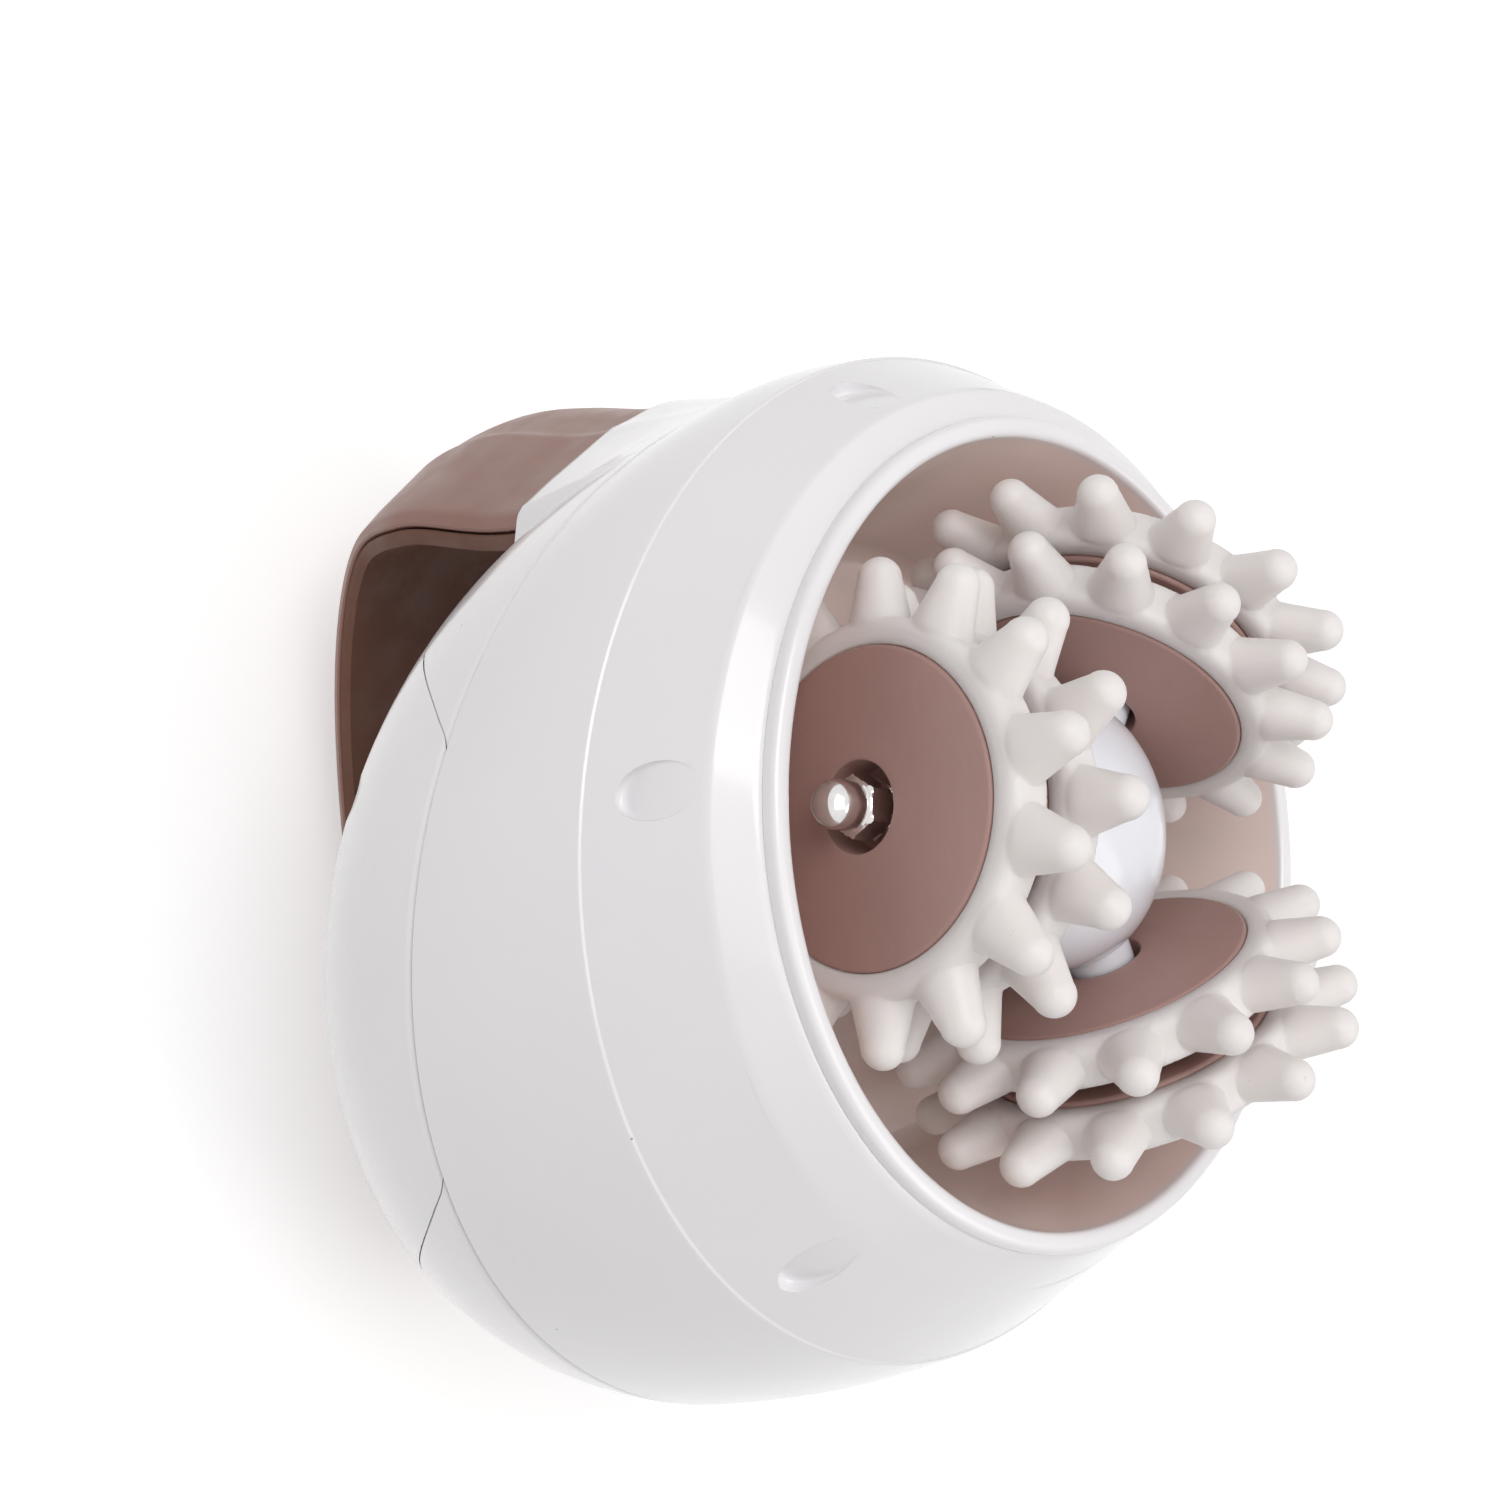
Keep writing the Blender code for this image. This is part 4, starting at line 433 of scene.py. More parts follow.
def painted_bounce_mask(graph):
    """1 on the bowl's wall and floor, where warm bounce light is painted, 0 on its lip: by distance from the
    rotor's axis and by height.
    """
    x, y, z = graph.split()
    reach = (x * x + (y - ROTOR_Y) ** 2) ** 0.5
    inside = graph.ramp(reach, BOWL_RADIUS + PAINTED_BOUNCE_OUT[0], BOWL_RADIUS + PAINTED_BOUNCE_OUT[1])
    return inside * graph.ramp(z, RIM_Z - PAINTED_BOUNCE_DOWN[0], RIM_Z - PAINTED_BOUNCE_DOWN[1])


def board_finish():
    """Green board with copper-toned tracks and darker parts below it."""
    graph = Graph("board_green", Roughness=0.45)
    x, y, z = graph.split()
    lines = graph.ramp(graph.noise(380, 1, stretch=(1.0, 4.0, 1.0)), 0.52, 0.55)
    base = graph.mix(lines * 0.6, paint(24, 84, 46), paint(70, 130, 70))
    graph.feed("Base Color", graph.mix(z < BOARD_UNDER, base, paint(28, 28, 30)))
    graph.emboss(lines, 0.00004)
    return graph.material


# Surfaces

class Skin:
    """Points and quads of one piece, gathered patch by patch as whole arrays."""

    def __init__(self):
        self.points, self.faces, self.count = [], [], 0

    def patch(self, grid, wrap_rows=False, wrap_columns=False):
        """Join a grid of points into quads, with either direction closed on itself if asked."""
        rows, columns = grid.shape[:2]
        i = np.arange(rows if wrap_rows else rows - 1)[:, None]
        j = np.arange(columns if wrap_columns else columns - 1)[None, :]
        here, there = i * columns, (i + 1) % rows * columns
        quads = np.stack(np.broadcast_arrays(here + j, here + (j + 1) % columns,
                                             there + (j + 1) % columns, there + j), -1)
        self.faces.append(quads.reshape(-1, 4) + self.count)
        self.points.append(grid.reshape(-1, 3))
        self.count += rows * columns
        return self

    def moved(self, change):
        """A copy whose points went through a function of an array of points."""
        copy = Skin()
        copy.points, copy.faces, copy.count = [change(np.concatenate(self.points))], self.faces, self.count
        return copy

    def mesh(self, name, turn=CREASE):
        """Blender mesh: doubles merged, faces outwards, smooth with sharp edges past a turn."""
        points, faces = np.concatenate(self.points), np.concatenate(self.faces).astype(np.int32)
        mesh = bpy.data.meshes.new(name)
        mesh.vertices.add(len(points))
        mesh.vertices.foreach_set("co", points.astype(np.float32).ravel())
        mesh.loops.add(faces.size)
        mesh.loops.foreach_set("vertex_index", faces.ravel())
        mesh.polygons.add(len(faces))
        mesh.polygons.foreach_set("loop_start", np.arange(0, faces.size, 4, dtype=np.int32))
        mesh.update(calc_edges=True)
        work = bmesh.new()
        work.from_mesh(mesh)
        bmesh.ops.remove_doubles(work, verts=work.verts, dist=0.000002)
        bmesh.ops.dissolve_degenerate(work, edges=work.edges, dist=0.0000005)
        bmesh.ops.recalc_face_normals(work, faces=work.faces)
        work.to_mesh(mesh)
        work.free()
        smooth(mesh, turn)
        return mesh


def smooth(mesh, turn=CREASE):
    """Shade smooth, with edges sharp where faces meet at more than a turn."""
    mesh.shade_smooth()
    mesh.set_sharp_from_angle(angle=turn)


def thing(name, skin, place=None, turn=CREASE):
    """Object at the origin that shows a skin, taken to its place by a function if there is one."""
    made = bpy.data.objects.new(name, (skin.moved(place) if place else skin).mesh(name, turn))
    bpy.context.scene.collection.objects.link(made)
    return made


def settle(made, finish, body, slot, *nodes):
    """Give a piece its finish and body, and hide the nodes that it stands for. The slot is not used."""
    made.data.materials.clear()
    made.data.materials.append(finish)
    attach(made, body)
    if nodes:
        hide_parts(*nodes)
    return made


def carve(made, tool):
    """Cut a tool out of a piece, then drop the tool."""
    step = made.modifiers.new("cut", "BOOLEAN")
    step.operation, step.object, step.solver = "DIFFERENCE", tool, "EXACT"
    bpy.context.view_layer.update()
    solid = bpy.data.meshes.new_from_object(made.evaluated_get(bpy.context.evaluated_depsgraph_get()))
    made.modifiers.clear()
    made.data = solid
    bpy.data.objects.remove(tool)
    smooth(made.data)
    return made


def soft_run(at, knots, values, blends):
    """Value along straight runs between knots, each inner corner rounded by a quadratic curve.

    A corner's curve runs from the knot minus the first width to the knot plus the second, and is
    (1-u)^2 A + 2u(1-u) B + u^2 C with B the corner itself.
    """
    at = np.asarray(at, float)
    values = np.asarray(values, float)

    def straight(where):
        return np.stack([np.interp(where, knots, column) for column in values.T], -1)

    out = straight(at)
    for i, (before, after) in enumerate(blends, 1):
        low, high = knots[i] - before, knots[i] + after
        u = np.clip((at - low) / (high - low), 0, 1)[..., None]
        curve = (1 - u) ** 2 * straight(low) + 2 * u * (1 - u) * values[i] + u * u * straight(high)
        out = np.where(((at > low) & (at < high))[..., None], curve, out)
    return out


def turned(profile, sides=96):
    """Surface of revolution about Z: (r cos a, r sin a, h) over a closed or pole-to-pole profile."""
    radius, height = np.asarray(profile, float).T
    turn = np.linspace(0, 2 * math.pi, sides, endpoint=False)
    return np.stack([radius[:, None] * np.cos(turn), radius[:, None] * np.sin(turn),
                     np.broadcast_to(height[:, None], (len(radius), sides))], -1)


def arc(middle, radius, start, end, steps=7):
    """Points of an arc from one turn to another, in degrees, about a middle."""
    turn = np.radians(np.linspace(start, end, steps))
    return [(middle[0] + radius * math.cos(t), middle[1] + radius * math.sin(t)) for t in turn]


def lathe(profile, sides=96, shift=(0, 0, 0), ring=False):
    """Skin of a profile turned about Z and shifted; a ring's profile is closed on itself."""
    return Skin().patch(turned(profile, sides) + shift, ring, True)


def spread(runs):
    """Even steps over several runs of (from, to, count), one after the other."""
    return np.concatenate([np.linspace(*run) for run in runs])


def square_loop(columns, rows):
    """Loop round the square from -1 to 1, with the turn of each point about its middle."""
    u = np.linspace(-1, 1, columns + 1)[:-1]
    w = np.linspace(-1, 1, rows + 1)[:-1]
    one_u, one_w = np.ones_like(u), np.ones_like(w)
    loop = np.concatenate([np.stack([u, -one_u], 1), np.stack([one_w, w], 1),
                           np.stack([-u, one_u], 1), np.stack([-one_w, -w], 1)])
    return loop, np.arctan2(loop[:, 0], loop[:, 1])


def from_seam(points):
    """Seam frame to world: turned about X by minus the tilt, then moved to the seam's middle."""
    x, y, z = np.moveaxis(np.asarray(points, float), -1, 0)
    c, s = math.cos(SEAM_TILT), math.sin(SEAM_TILT)
    return np.stack([x, SEAM_Y + y * c + z * s, SEAM_Z - y * s + z * c], -1)


# Front housing

def housing_at(turn, run, inset=0.0):
    """Point of the housing at a turn and a run of 0 at the lip, 1 shoulder, 2 ridge and 3 seam.

    x = a cos t, y = shift + b sin t cos k, z = -drop - b sin t sin k, where shift, drop, tilt k and the
    half widths a and b follow the rings with rounded corners, and the belly swells by sin(pi s). The
    band above the ridge is sunk by a small step that fades towards the shoulder.
    """
    drop, shift, tilt, half_x, half_y = np.moveaxis(
        soft_run(run, (0, 1, 2, 3), HOUSING_RINGS, HOUSING_BLENDS), -1, 0)
    run = np.asarray(run, float)
    swell = BELLY_BULGE * np.sin(math.pi * np.clip(run - 2, 0, 1)) - inset
    step = np.clip((run - STEP_FROM) / STEP_RUN, 0, 1)
    swell = swell - RIDGE_STEP * np.clip(run - STEP_FADE, 0, 1) * (1 - step * step * (3 - 2 * step))
    across = (half_y + swell) * np.sin(turn)
    return np.stack([(half_x + swell) * np.cos(turn), ROTOR_Y + shift + across * np.cos(tilt),
                     RIM_Z - drop - across * np.sin(tilt)], -1)


class MASSAGER_OT_front_housing(Operator):
    """Wide white ring from lip to seam, with six scooped thumb recesses"""
    bl_idname = "massager.front_housing"
    bl_label = "Front housing"

    def execute(self, context):
        settings = sizes()
        skin = Skin()
        turn = RECESS_TURN + np.linspace(0, 2 * math.pi, RECESS_COUNT * SECTOR_COLUMNS, endpoint=False)
        turn = turn - math.pi / RECESS_COUNT
        upper, lower = spread(RUNS_ABOVE), spread(RUNS_BELOW)
        lip = housing_at(turn[None, :], np.zeros((1, 1)), LIP_EDGE)
        lip[..., 2] = RIM_Z - LIP_DROP
        start = housing_at(turn[None, :], np.full((1, 1), 0.05))
        skin.patch(np.concatenate([lip, start, housing_at(turn[None, :], upper[1:, None])]),
                   wrap_columns=True)
        outer_low = housing_at(turn[None, :], lower[:, None])
        end = housing_at(turn[None, :], np.full((1, 1), 3.0), SEAM_ROUND)
        inner = housing_at(turn[None, :], np.array(RUNS_INSIDE)[:, None], WALL)
        band = housing_at(turn[None, :], np.array([[run] for run, _ in BAND_INSIDE]))
        for row, (_, reach) in zip(band, BAND_INSIDE):
            across = np.hypot(row[:, 0], row[:, 1] - ROTOR_Y)
            row[:, 0] *= reach / across
            row[:, 1] = ROTOR_Y + (row[:, 1] - ROTOR_Y) * reach / across
        rim = housing_at(turn[None, :], np.zeros((2, 1)), LIP_WALL)
        rim[0, :, 2], rim[1, :, 2] = RIM_Z - LIP_DEEP, RIM_Z - LIP_DROP
        skin.patch(np.concatenate([outer_low, end, inner, band, rim, lip]), wrap_columns=True)

        loop, about = square_loop(SECTOR_COLUMNS, SECTOR_ROWS)
        middle_run, half_run = (BAND_LOW + BAND_HIGH) / 2, (BAND_HIGH - BAND_LOW) / 2
        drop_span = HOUSING_RINGS[2][0] - HOUSING_RINGS[1][0]
        outward = np.linspace(0, 1, 15)[:, None] ** SPREAD_OUT
        inward = 1 - np.linspace(0, 1, 18)[1:, None] ** SPREAD_IN
        for sector in range(RECESS_COUNT):
            centre = RECESS_TURN + sector * 2 * math.pi / RECESS_COUNT
            level = math.cos(RECESS_LEAN)
            lean = np.array([level * math.cos(centre), level * math.sin(centre), math.sin(RECESS_LEAN)])
            reach = np.linalg.norm(housing_at(centre, RECESS_AT)[:2] - (0, ROTOR_Y))
            hole_turn = np.arcsin(settings.recess_wide * np.sin(about) / reach)
            hole_run = settings.recess_high / drop_span * np.cos(about)
            frame_turn = loop[:, 0] * math.pi / RECESS_COUNT
            frame_run = middle_run - RECESS_AT + loop[:, 1] * half_run
            turns = centre + hole_turn + (frame_turn - hole_turn) * outward
            runs = RECESS_AT + hole_run + (frame_run - hole_run) * outward
            skin.patch(housing_at(turns, runs)[::-1], wrap_columns=True)
            turns = centre + np.arcsin(settings.recess_wide * inward * np.sin(about) / reach)
            runs = RECESS_AT + inward * hole_run
            depth = RECESS_DEPTH * ((1 + inward * np.cos(about)) / 2) ** RECESS_POWER
            depth = depth * np.sqrt(1 - inward ** RECESS_SHARPNESS)
            edge = housing_at(centre + hole_turn, RECESS_AT + hole_run)[None]
            scoop = housing_at(turns, runs) - depth[..., None] * lean
            skin.patch(np.concatenate([edge, scoop]), wrap_columns=True)
        made = thing("front_housing_ring", skin)
        settle(made, casing_finish("casing_white_front", colours().casing), "body", "gloss_white",
               "front_housing")
        return {"FINISHED"}


# Roller bowl

class MASSAGER_OT_roller_bowl(Operator):
    """Round well with a rolled lip that the rollers turn in"""
    bl_idname = "massager.roller_bowl"
    bl_label = "Roller bowl"

    def execute(self, context):
        lip = sizes().lip_round
        inner, outer, foot = BOWL_RADIUS, BOWL_FLANGE, BOWL_FOOT_ROUND
        groove = -BOWL_DEPTH - GROOVE_DEPTH
        profile = [(outer, -BOWL_SKIRT)] + arc((outer - lip, -lip), lip, 0, 90)
        profile += arc((inner + lip, -lip), lip, 90, 180)
        profile += [(inner - (inner - BOWL_FOOT) * s, -lip - (BOWL_DEPTH - foot - lip) * s)
                    for s in (0.1, 0.3, 0.5, 0.7, 0.9)]
        profile += arc((BOWL_FLOOR, -BOWL_DEPTH + foot), foot, 0, -90, 9)
        profile += [(BOWL_FLOOR - BOWL_FLAT, -BOWL_DEPTH), (GROOVE_OUTER, -BOWL_DEPTH),
                    (GROOVE_OUTER - GROOVE_SLOPE, groove), (GROOVE_INNER + GROOVE_SLOPE, groove),
                    (GROOVE_INNER, -BOWL_DEPTH), (BOWL_BORE, -BOWL_DEPTH),
                    (BOWL_BORE, -BOWL_DEPTH - BOSS_LEDGE), (BOSS_BORE, -BOWL_DEPTH - BOSS_LEDGE),
                    (BOSS_BORE, -BOSS_END), (BOSS_RADIUS, -BOSS_END), (BOSS_RADIUS, -BOWL_UNDER),
                    (BOWL_FLOOR + UNDER_OUT, -BOWL_UNDER), (BOWL_FOOT + HAUNCH_OUT, -BOWL_HAUNCH),
                    (inner + SKIRT_OUT, -BOWL_SKIRT)]
        made = thing("bowl_well", lathe(profile, 180, (0, ROTOR_Y, RIM_Z), True))
        # Inside the bowl the casing's white turns warm: painted bounce light from the taupe discs
        finish = casing_finish("casing_white_bowl_painted_bounce", colours().casing, colour_to=tuple(colours().bowl),
                               mask=painted_bounce_mask)
        settle(made, finish, "body", "gloss_white", "roller_bowl")
        return {"FINISHED"}


# Rear dome and collars

def dome_share(depth, inset=0.0):
    """Share of the half widths left at a depth: (1 - (d/D)^n)^(1/n)."""
    deep = DOME_DEPTH - inset
    return (1 - (np.clip(depth, 0, deep) / deep) ** DOME_POWER) ** (1 / DOME_POWER)


def bevel_at(depth):
    """How far the edge behind the seam falls in, as a quarter round of the bevel's depth."""
    share = np.clip(1 - np.asarray(depth, float) / BEVEL_DEPTH, 0, 1)
    return BEVEL * (1 - np.sqrt(1 - share ** 2 * BEVEL_SHARE))


def dome_half(depth, side, fall, share):
    """Half width along Y, a little less under the strap's upper root."""
    return ((SEAM_HALF_Y - fall) * share
            - (side < 0) * UPPER_FALL * np.sin(math.pi * np.clip(depth / DOME_DEPTH, 0, 1)))


def dome_at(turn, depth, inset=0.0, bevel=True):
    """Point of the dome in the seam frame: x = a s cos t, y = lean d/D + b s sin t, z = -d."""
    share = dome_share(depth, inset)
    fall = inset + (bevel_at(depth) if bevel else 0)
    half = dome_half(depth, np.sin(turn), fall, share)
    return np.stack([(SEAM_HALF_X - fall) * share * np.cos(turn),
                     DOME_LEAN * depth / DOME_DEPTH + half * np.sin(turn),
                     np.broadcast_to(-depth, np.broadcast_shapes(np.shape(turn), np.shape(depth)))], -1)


def dome_depths(inset=0.0, rows=40):
    """Depths from the seam to the apex: D sin(q)^(2/n), so that the apex is closed by a pole."""
    deep = DOME_DEPTH - inset
    q = np.linspace(0, math.pi / 2, rows)[1:]
    return deep * np.sin(q) ** (2 / DOME_POWER)


def dome_skin(inset=0.0, start=GAP / 2, bevel=True, lift=0.0, sides=180):
    """The dome as one closed body, with a flat lid at the seam."""
    turn = np.linspace(0, 2 * math.pi, sides, endpoint=False)[None, :]
    edge = np.linspace(start, BEVEL_DEPTH, 7)
    depths = np.concatenate([edge, dome_depths(inset)[1:]])[:, None]
    grid = dome_at(turn, depths[depths[:, 0].argsort()], inset, bevel)
    lid = np.stack([grid[0] + (0, 0, lift), np.broadcast_to((0, 0, -start + lift), grid[0].shape)])
    parts = [lid[1:], lid[:1], grid] if lift else [lid[1:], grid]
    return Skin().patch(np.concatenate(parts), wrap_columns=True)


def screw_places():
    """Places of the dome's four screws in the seam frame."""
    return [(side * SCREW_CIRCLE * math.cos(SCREW_TURN), rise * SCREW_CIRCLE * math.sin(SCREW_TURN))
            for side in (-1, 1) for rise in (-1, 1)]


def side_place(depth):
    """Middle and axes of a fitting on the dome's -X side: across, along the seam, outwards."""
    share = float(dome_share(depth))
    lean = DOME_LEAN * depth / DOME_DEPTH
    turn = math.pi + math.asin(lean / (SEAM_HALF_Y * share))
    fall = share ** (1 - DOME_POWER) * (depth / DOME_DEPTH) ** (DOME_POWER - 1) * SEAM_HALF_X / DOME_DEPTH
    outward = np.array([math.cos(turn), math.sin(turn), -fall])
    outward /= np.linalg.norm(outward)
    across = np.cross((0, 1, 0), outward)
    across /= np.linalg.norm(across)
    middle = np.array([SEAM_HALF_X * share * math.cos(turn), lean + SEAM_HALF_Y * share * math.sin(turn),
                       -depth])
    return middle, np.stack([across, np.cross(outward, across), outward])


def on_side(depth):
    """A function that takes points from a fitting's own axes to the world."""
    middle, axes = side_place(depth)
    return lambda points: from_seam(np.asarray(points, float) @ axes + middle)


def rounded_bar(half_x, half_y, rows, corner, steps=6):
    """Stack of rounded rectangles. A row is a height and how far the outline shrinks there."""
    quarter = np.linspace(0, math.pi / 2, steps)
    turns = np.concatenate([quarter + k * math.pi / 2 for k in range(4)])
    middle_x = np.repeat([1, -1, -1, 1], steps) * (half_x - corner)
    middle_y = np.repeat([1, 1, -1, -1], steps) * (half_y - corner)
    return np.stack([np.stack([middle_x + (corner - shrink) * np.cos(turns),
                               middle_y + (corner - shrink) * np.sin(turns),
                               np.full(len(turns), height)], -1) for height, shrink in rows])


def capped(grid):
    """Skin of a stack of loops whose first and last are closed by poles at their middles."""
    first = np.broadcast_to(grid[:1].mean(axis=1, keepdims=True), grid[:1].shape)
    last = np.broadcast_to(grid[-1:].mean(axis=1, keepdims=True), grid[-1:].shape)
    return Skin().patch(np.concatenate([first, grid, last]), wrap_columns=True)


def crescent_skin(side):
    """Prism of the outline z = -d (1 - |x/a|^p) that marks out a collar on the dome."""
    share = np.linspace(1, -1, 90)
    x = np.concatenate([CRESCENT_X * share, [-CRESCENT_X, CRESCENT_X]])
    z = np.concatenate([-CRESCENT_DEPTH * (1 - np.abs(share) ** CRESCENT_POWER), [CUT_OVER, CUT_OVER]])
    return capped(np.stack([np.stack([x, np.full(len(x), side * y), z], -1)
                            for y in (CRESCENT_FROM, CRESCENT_TO)]))


def lug_line(share):
    """Fall of a lug's or the strap's outer line at a share of its half width, with soft creases."""
    wide, fall = np.array(STRAP_LINE).T
    return soft_run(np.abs(share), wide, fall[:, None], STRAP_BLENDS)[..., 0]


class MASSAGER_OT_rear_housing(Operator):
    """Palm-side dome with its bevelled edge, screw wells and the openings on its side"""
    bl_idname = "massager.rear_housing"
    bl_label = "Rear housing"

    def execute(self, context):
        made = thing("dome_shell", dome_skin(), from_seam)
        hollow = thing("hollow", dome_skin(WALL, bevel=False, lift=CUT_OVER), from_seam)
        wells, bores = Skin(), []
        for x, y in screw_places():
            well = turned([(0, -WELL_FOOT), (WELL_RADIUS, -WELL_FOOT), (WELL_RADIUS, WELL_OVER),
                           (0, WELL_OVER)], 40)
            wells.patch(well + (x, y, 0), wrap_columns=True)
            head, seat = HEAD_RADIUS + GAP, GAP - SCREW_SEAT
            bores.append(lathe([(0, -BORE_FOOT), (head, -BORE_FOOT), (head, seat), (BORE_RADIUS, seat),
                                (BORE_RADIUS, CUT_OVER), (0, CUT_OVER)], 40, (x, y, 0)))
        carve(hollow, thing("wells", wells, from_seam))
        carve(made, hollow)
        for bore in bores:
            carve(made, thing("bore", bore, from_seam))
        for side in (-1, 1):
            carve(made, thing("crescent", crescent_skin(side), from_seam))
        reach = INLET_RADIUS + GAP
        inlet = lathe([(0, -INLET_LENGTH), (reach, -INLET_LENGTH), (reach, CUT_OVER), (0, CUT_OVER)], 48)
        carve(made, thing("inlet_hole", inlet, on_side(INLET_DEPTH)))
        hole = rounded_bar(SWITCH_WIDTH / 2 + GAP, SWITCH_LENGTH / 2 + GAP,
                           ((-SWITCH_HEIGHT, 0), (CUT_OVER, 0)), HOLE_CORNER)
        carve(made, thing("switch_hole", capped(hole), on_side(SWITCH_DEPTH)))
        settle(made, casing_finish("casing_white_dome", colours().casing), "body", "gloss_white",
               "rear_housing")
        return {"FINISHED"}


def collar_skin(side):
    """Crescent of the dome's wall with its lug, as a height field over (x, depth).

    Outer height is the smooth maximum of the dome, b s sqrt(1 - (x/as)^2) plus its lean, and of the lug,
    which rises straight from the seam's oval to the strap's outer line at the lug's end.
    """
    half_x, deep = CRESCENT_X - GAP / 2, CRESCENT_DEPTH - GAP / 2
    flank = LUG_HALF * FLANK_FROM + np.linspace(*FLANK_STEPS)
    x = np.concatenate([half_x * np.sin(np.linspace(-math.pi / 2, math.pi / 2, 141)), flank, -flank])
    x = np.sort(x)[:, None]
    limit = deep * (1 - np.abs(x / half_x) ** CRESCENT_POWER)
    step_at = np.minimum(LUG_DEPTH, limit)
    front = spread(COLLAR_RUNS)[None, :]
    back = np.linspace(0, 1, 7)[None, :]
    start = np.minimum(GAP / 2, limit)
    depth_front = start + (step_at - start) * front
    depth_back = step_at + (limit - step_at) * back

    def dome_height(depth, inset=0.0, bevel=True):
        share = dome_share(depth, inset)
        fall = inset + (bevel_at(depth) if bevel else 0)
        wide = (SEAM_HALF_X - fall) * share
        return (dome_half(depth, side, fall, share) * np.sqrt(np.clip(1 - (x / wide) ** 2, 0, 1))
                + side * DOME_LEAN * depth / DOME_DEPTH)

    seam_line = SEAM_HALF_Y * np.sqrt(1 - (x / SEAM_HALF_X) ** 2)
    crown_line = LUG_CROWN[side] - STRAP_DROP * lug_line(np.clip(x / LUG_HALF, -1, 1))
    crown_line = crown_line - FLANK_SLOPE * np.maximum(np.abs(x) - LUG_HALF * FLANK_FROM, 0)
    rise = depth_front / LUG_DEPTH
    lug = seam_line + (crown_line - seam_line) * rise - bevel_at(depth_front)
    end_round = np.clip((depth_front - (LUG_DEPTH - LUG_EDGE_RUN)) / LUG_EDGE_RUN, 0, 1)
    lug = lug - LUG_EDGE * (1 - np.sqrt(1 - end_round ** 2 * LUG_EDGE_SHARE))
    dome = dome_height(depth_front)
    apart = lug - dome
    near = np.clip(LUG_BLEND - np.abs(apart), 0, None) / LUG_BLEND
    blend_share = np.clip(rise * 4, 0, 1)
    outer = np.maximum(lug, dome) + blend_share * near ** 2 * LUG_BLEND / 4
    outer = np.where(np.abs(x) > LUG_HALF + LUG_MARGIN, dome, outer)
    outer_back = dome_height(depth_back)

    def sheet(height, depth):
        return np.stack([np.broadcast_to(x, depth.shape), side * height, -depth], -1)

    inner_depth = np.concatenate([depth_front[:, ::3], depth_back[:, ::3]], 1)
    inner_depth[:, 0], inner_depth[:, -1] = depth_front[:, 0], depth_back[:, -1]
    inner = sheet(dome_height(inner_depth, WALL, bevel=False), inner_depth)
    loop = np.concatenate([sheet(outer, depth_front), sheet(outer_back, depth_back), inner[:, ::-1]], 1)
    return Skin().patch(loop, wrap_columns=True)


class MASSAGER_OT_collars(Operator):
    """White crescents with the lugs that the strap butts against"""
    bl_idname = "massager.collars"
    bl_label = "Handle collars"

    def execute(self, context):
        finish = casing_finish("casing_white_collar", colours().casing)
        for side, name in ((-1, "upper"), (1, "lower")):
            made = thing(f"collar_{name}", collar_skin(side), from_seam)
            settle(made, finish, "body", "gloss_white", f"handle_collar_{name}")
        return {"FINISHED"}


# Strap handle

def strap_path(steps=150):
    """Crown points and outward normals of the strap in the YZ plane, evenly spaced.

    Roots that lean in by half a cosine wave, joined by half a superellipse |y/a|^n + |z/b|^n = 1.
    """

    def lean(height):
        return STRAP_LEAN * (1 - np.cos(math.pi * np.clip(height / LEAN_LENGTH, 0, 1))) / 2

    back = np.linspace(0, math.pi, 721)
    cos, sin = np.cos(back), np.sin(back)
    arch = np.stack([-STRAP_SPAN * np.sign(cos) * np.abs(cos) ** (2 / STRAP_POWER),
                     STRAP_Z - STRAP_RISE * np.clip(sin, 0, 1) ** (2 / STRAP_POWER)], 1)
    share = np.linspace(1, 0, 40)[:-1]
    upper = np.stack([-STRAP_SPAN + lean(share * ROOT_UPPER), STRAP_Z + share * ROOT_UPPER], 1)
    lower = np.stack([STRAP_SPAN - lean(share * ROOT_LOWER), STRAP_Z + share * ROOT_LOWER], 1)[::-1]
    line = np.concatenate([upper, arch, lower])
    run = np.concatenate([[0], np.cumsum(np.linalg.norm(np.diff(line, axis=0), axis=1))])
    even = np.linspace(0, run[-1], steps)
    line = np.stack([np.interp(even, run, line[:, 0]), np.interp(even, run, line[:, 1])], 1)
    ahead = np.gradient(line, axis=0)
    ahead /= np.linalg.norm(ahead, axis=1)[:, None]
    return line, np.stack([ahead[:, 1], -ahead[:, 0]], 1)


def both_sides(half):
    """Half of a section's side, from its middle outwards, with its mirror image: one row from -x to +x."""
    half = np.asarray(half, float)
    return np.concatenate([half[:0:-1] * (-1, 1), half])


def strap_skin(top, low):
    """A section of (x, depth below the crown) swept along the strap, narrower and thinner at the crown.

    Its outer and inner sides have as many points as each other, and strips between them close the ends.
    """
    line, outward = strap_path()
    top, low = both_sides(top), both_sides(low)
    x, deep = np.concatenate([top, low[::-1]]).T
    bend = np.clip((STRAP_Z - line[:, 1]) / STRAP_RISE, 0, 1)[:, None]
    across = x * (1 + (CROWN_WIDTH_SHARE - 1) * bend)
    sunk = deep * (1 + (CROWN_DEPTH_SHARE - 1) * bend)
    y = line[:, :1] - outward[:, :1] * sunk
    z = np.maximum(line[:, 1:] - outward[:, 1:] * sunk, 0)
    grid = np.stack([across, y, z], -1)
    skin = Skin().patch(grid, wrap_columns=True)
    for end in (grid[0], grid[-1]):
        skin.patch(np.stack([end[:len(top)], end[len(top):][::-1]]))
    return skin


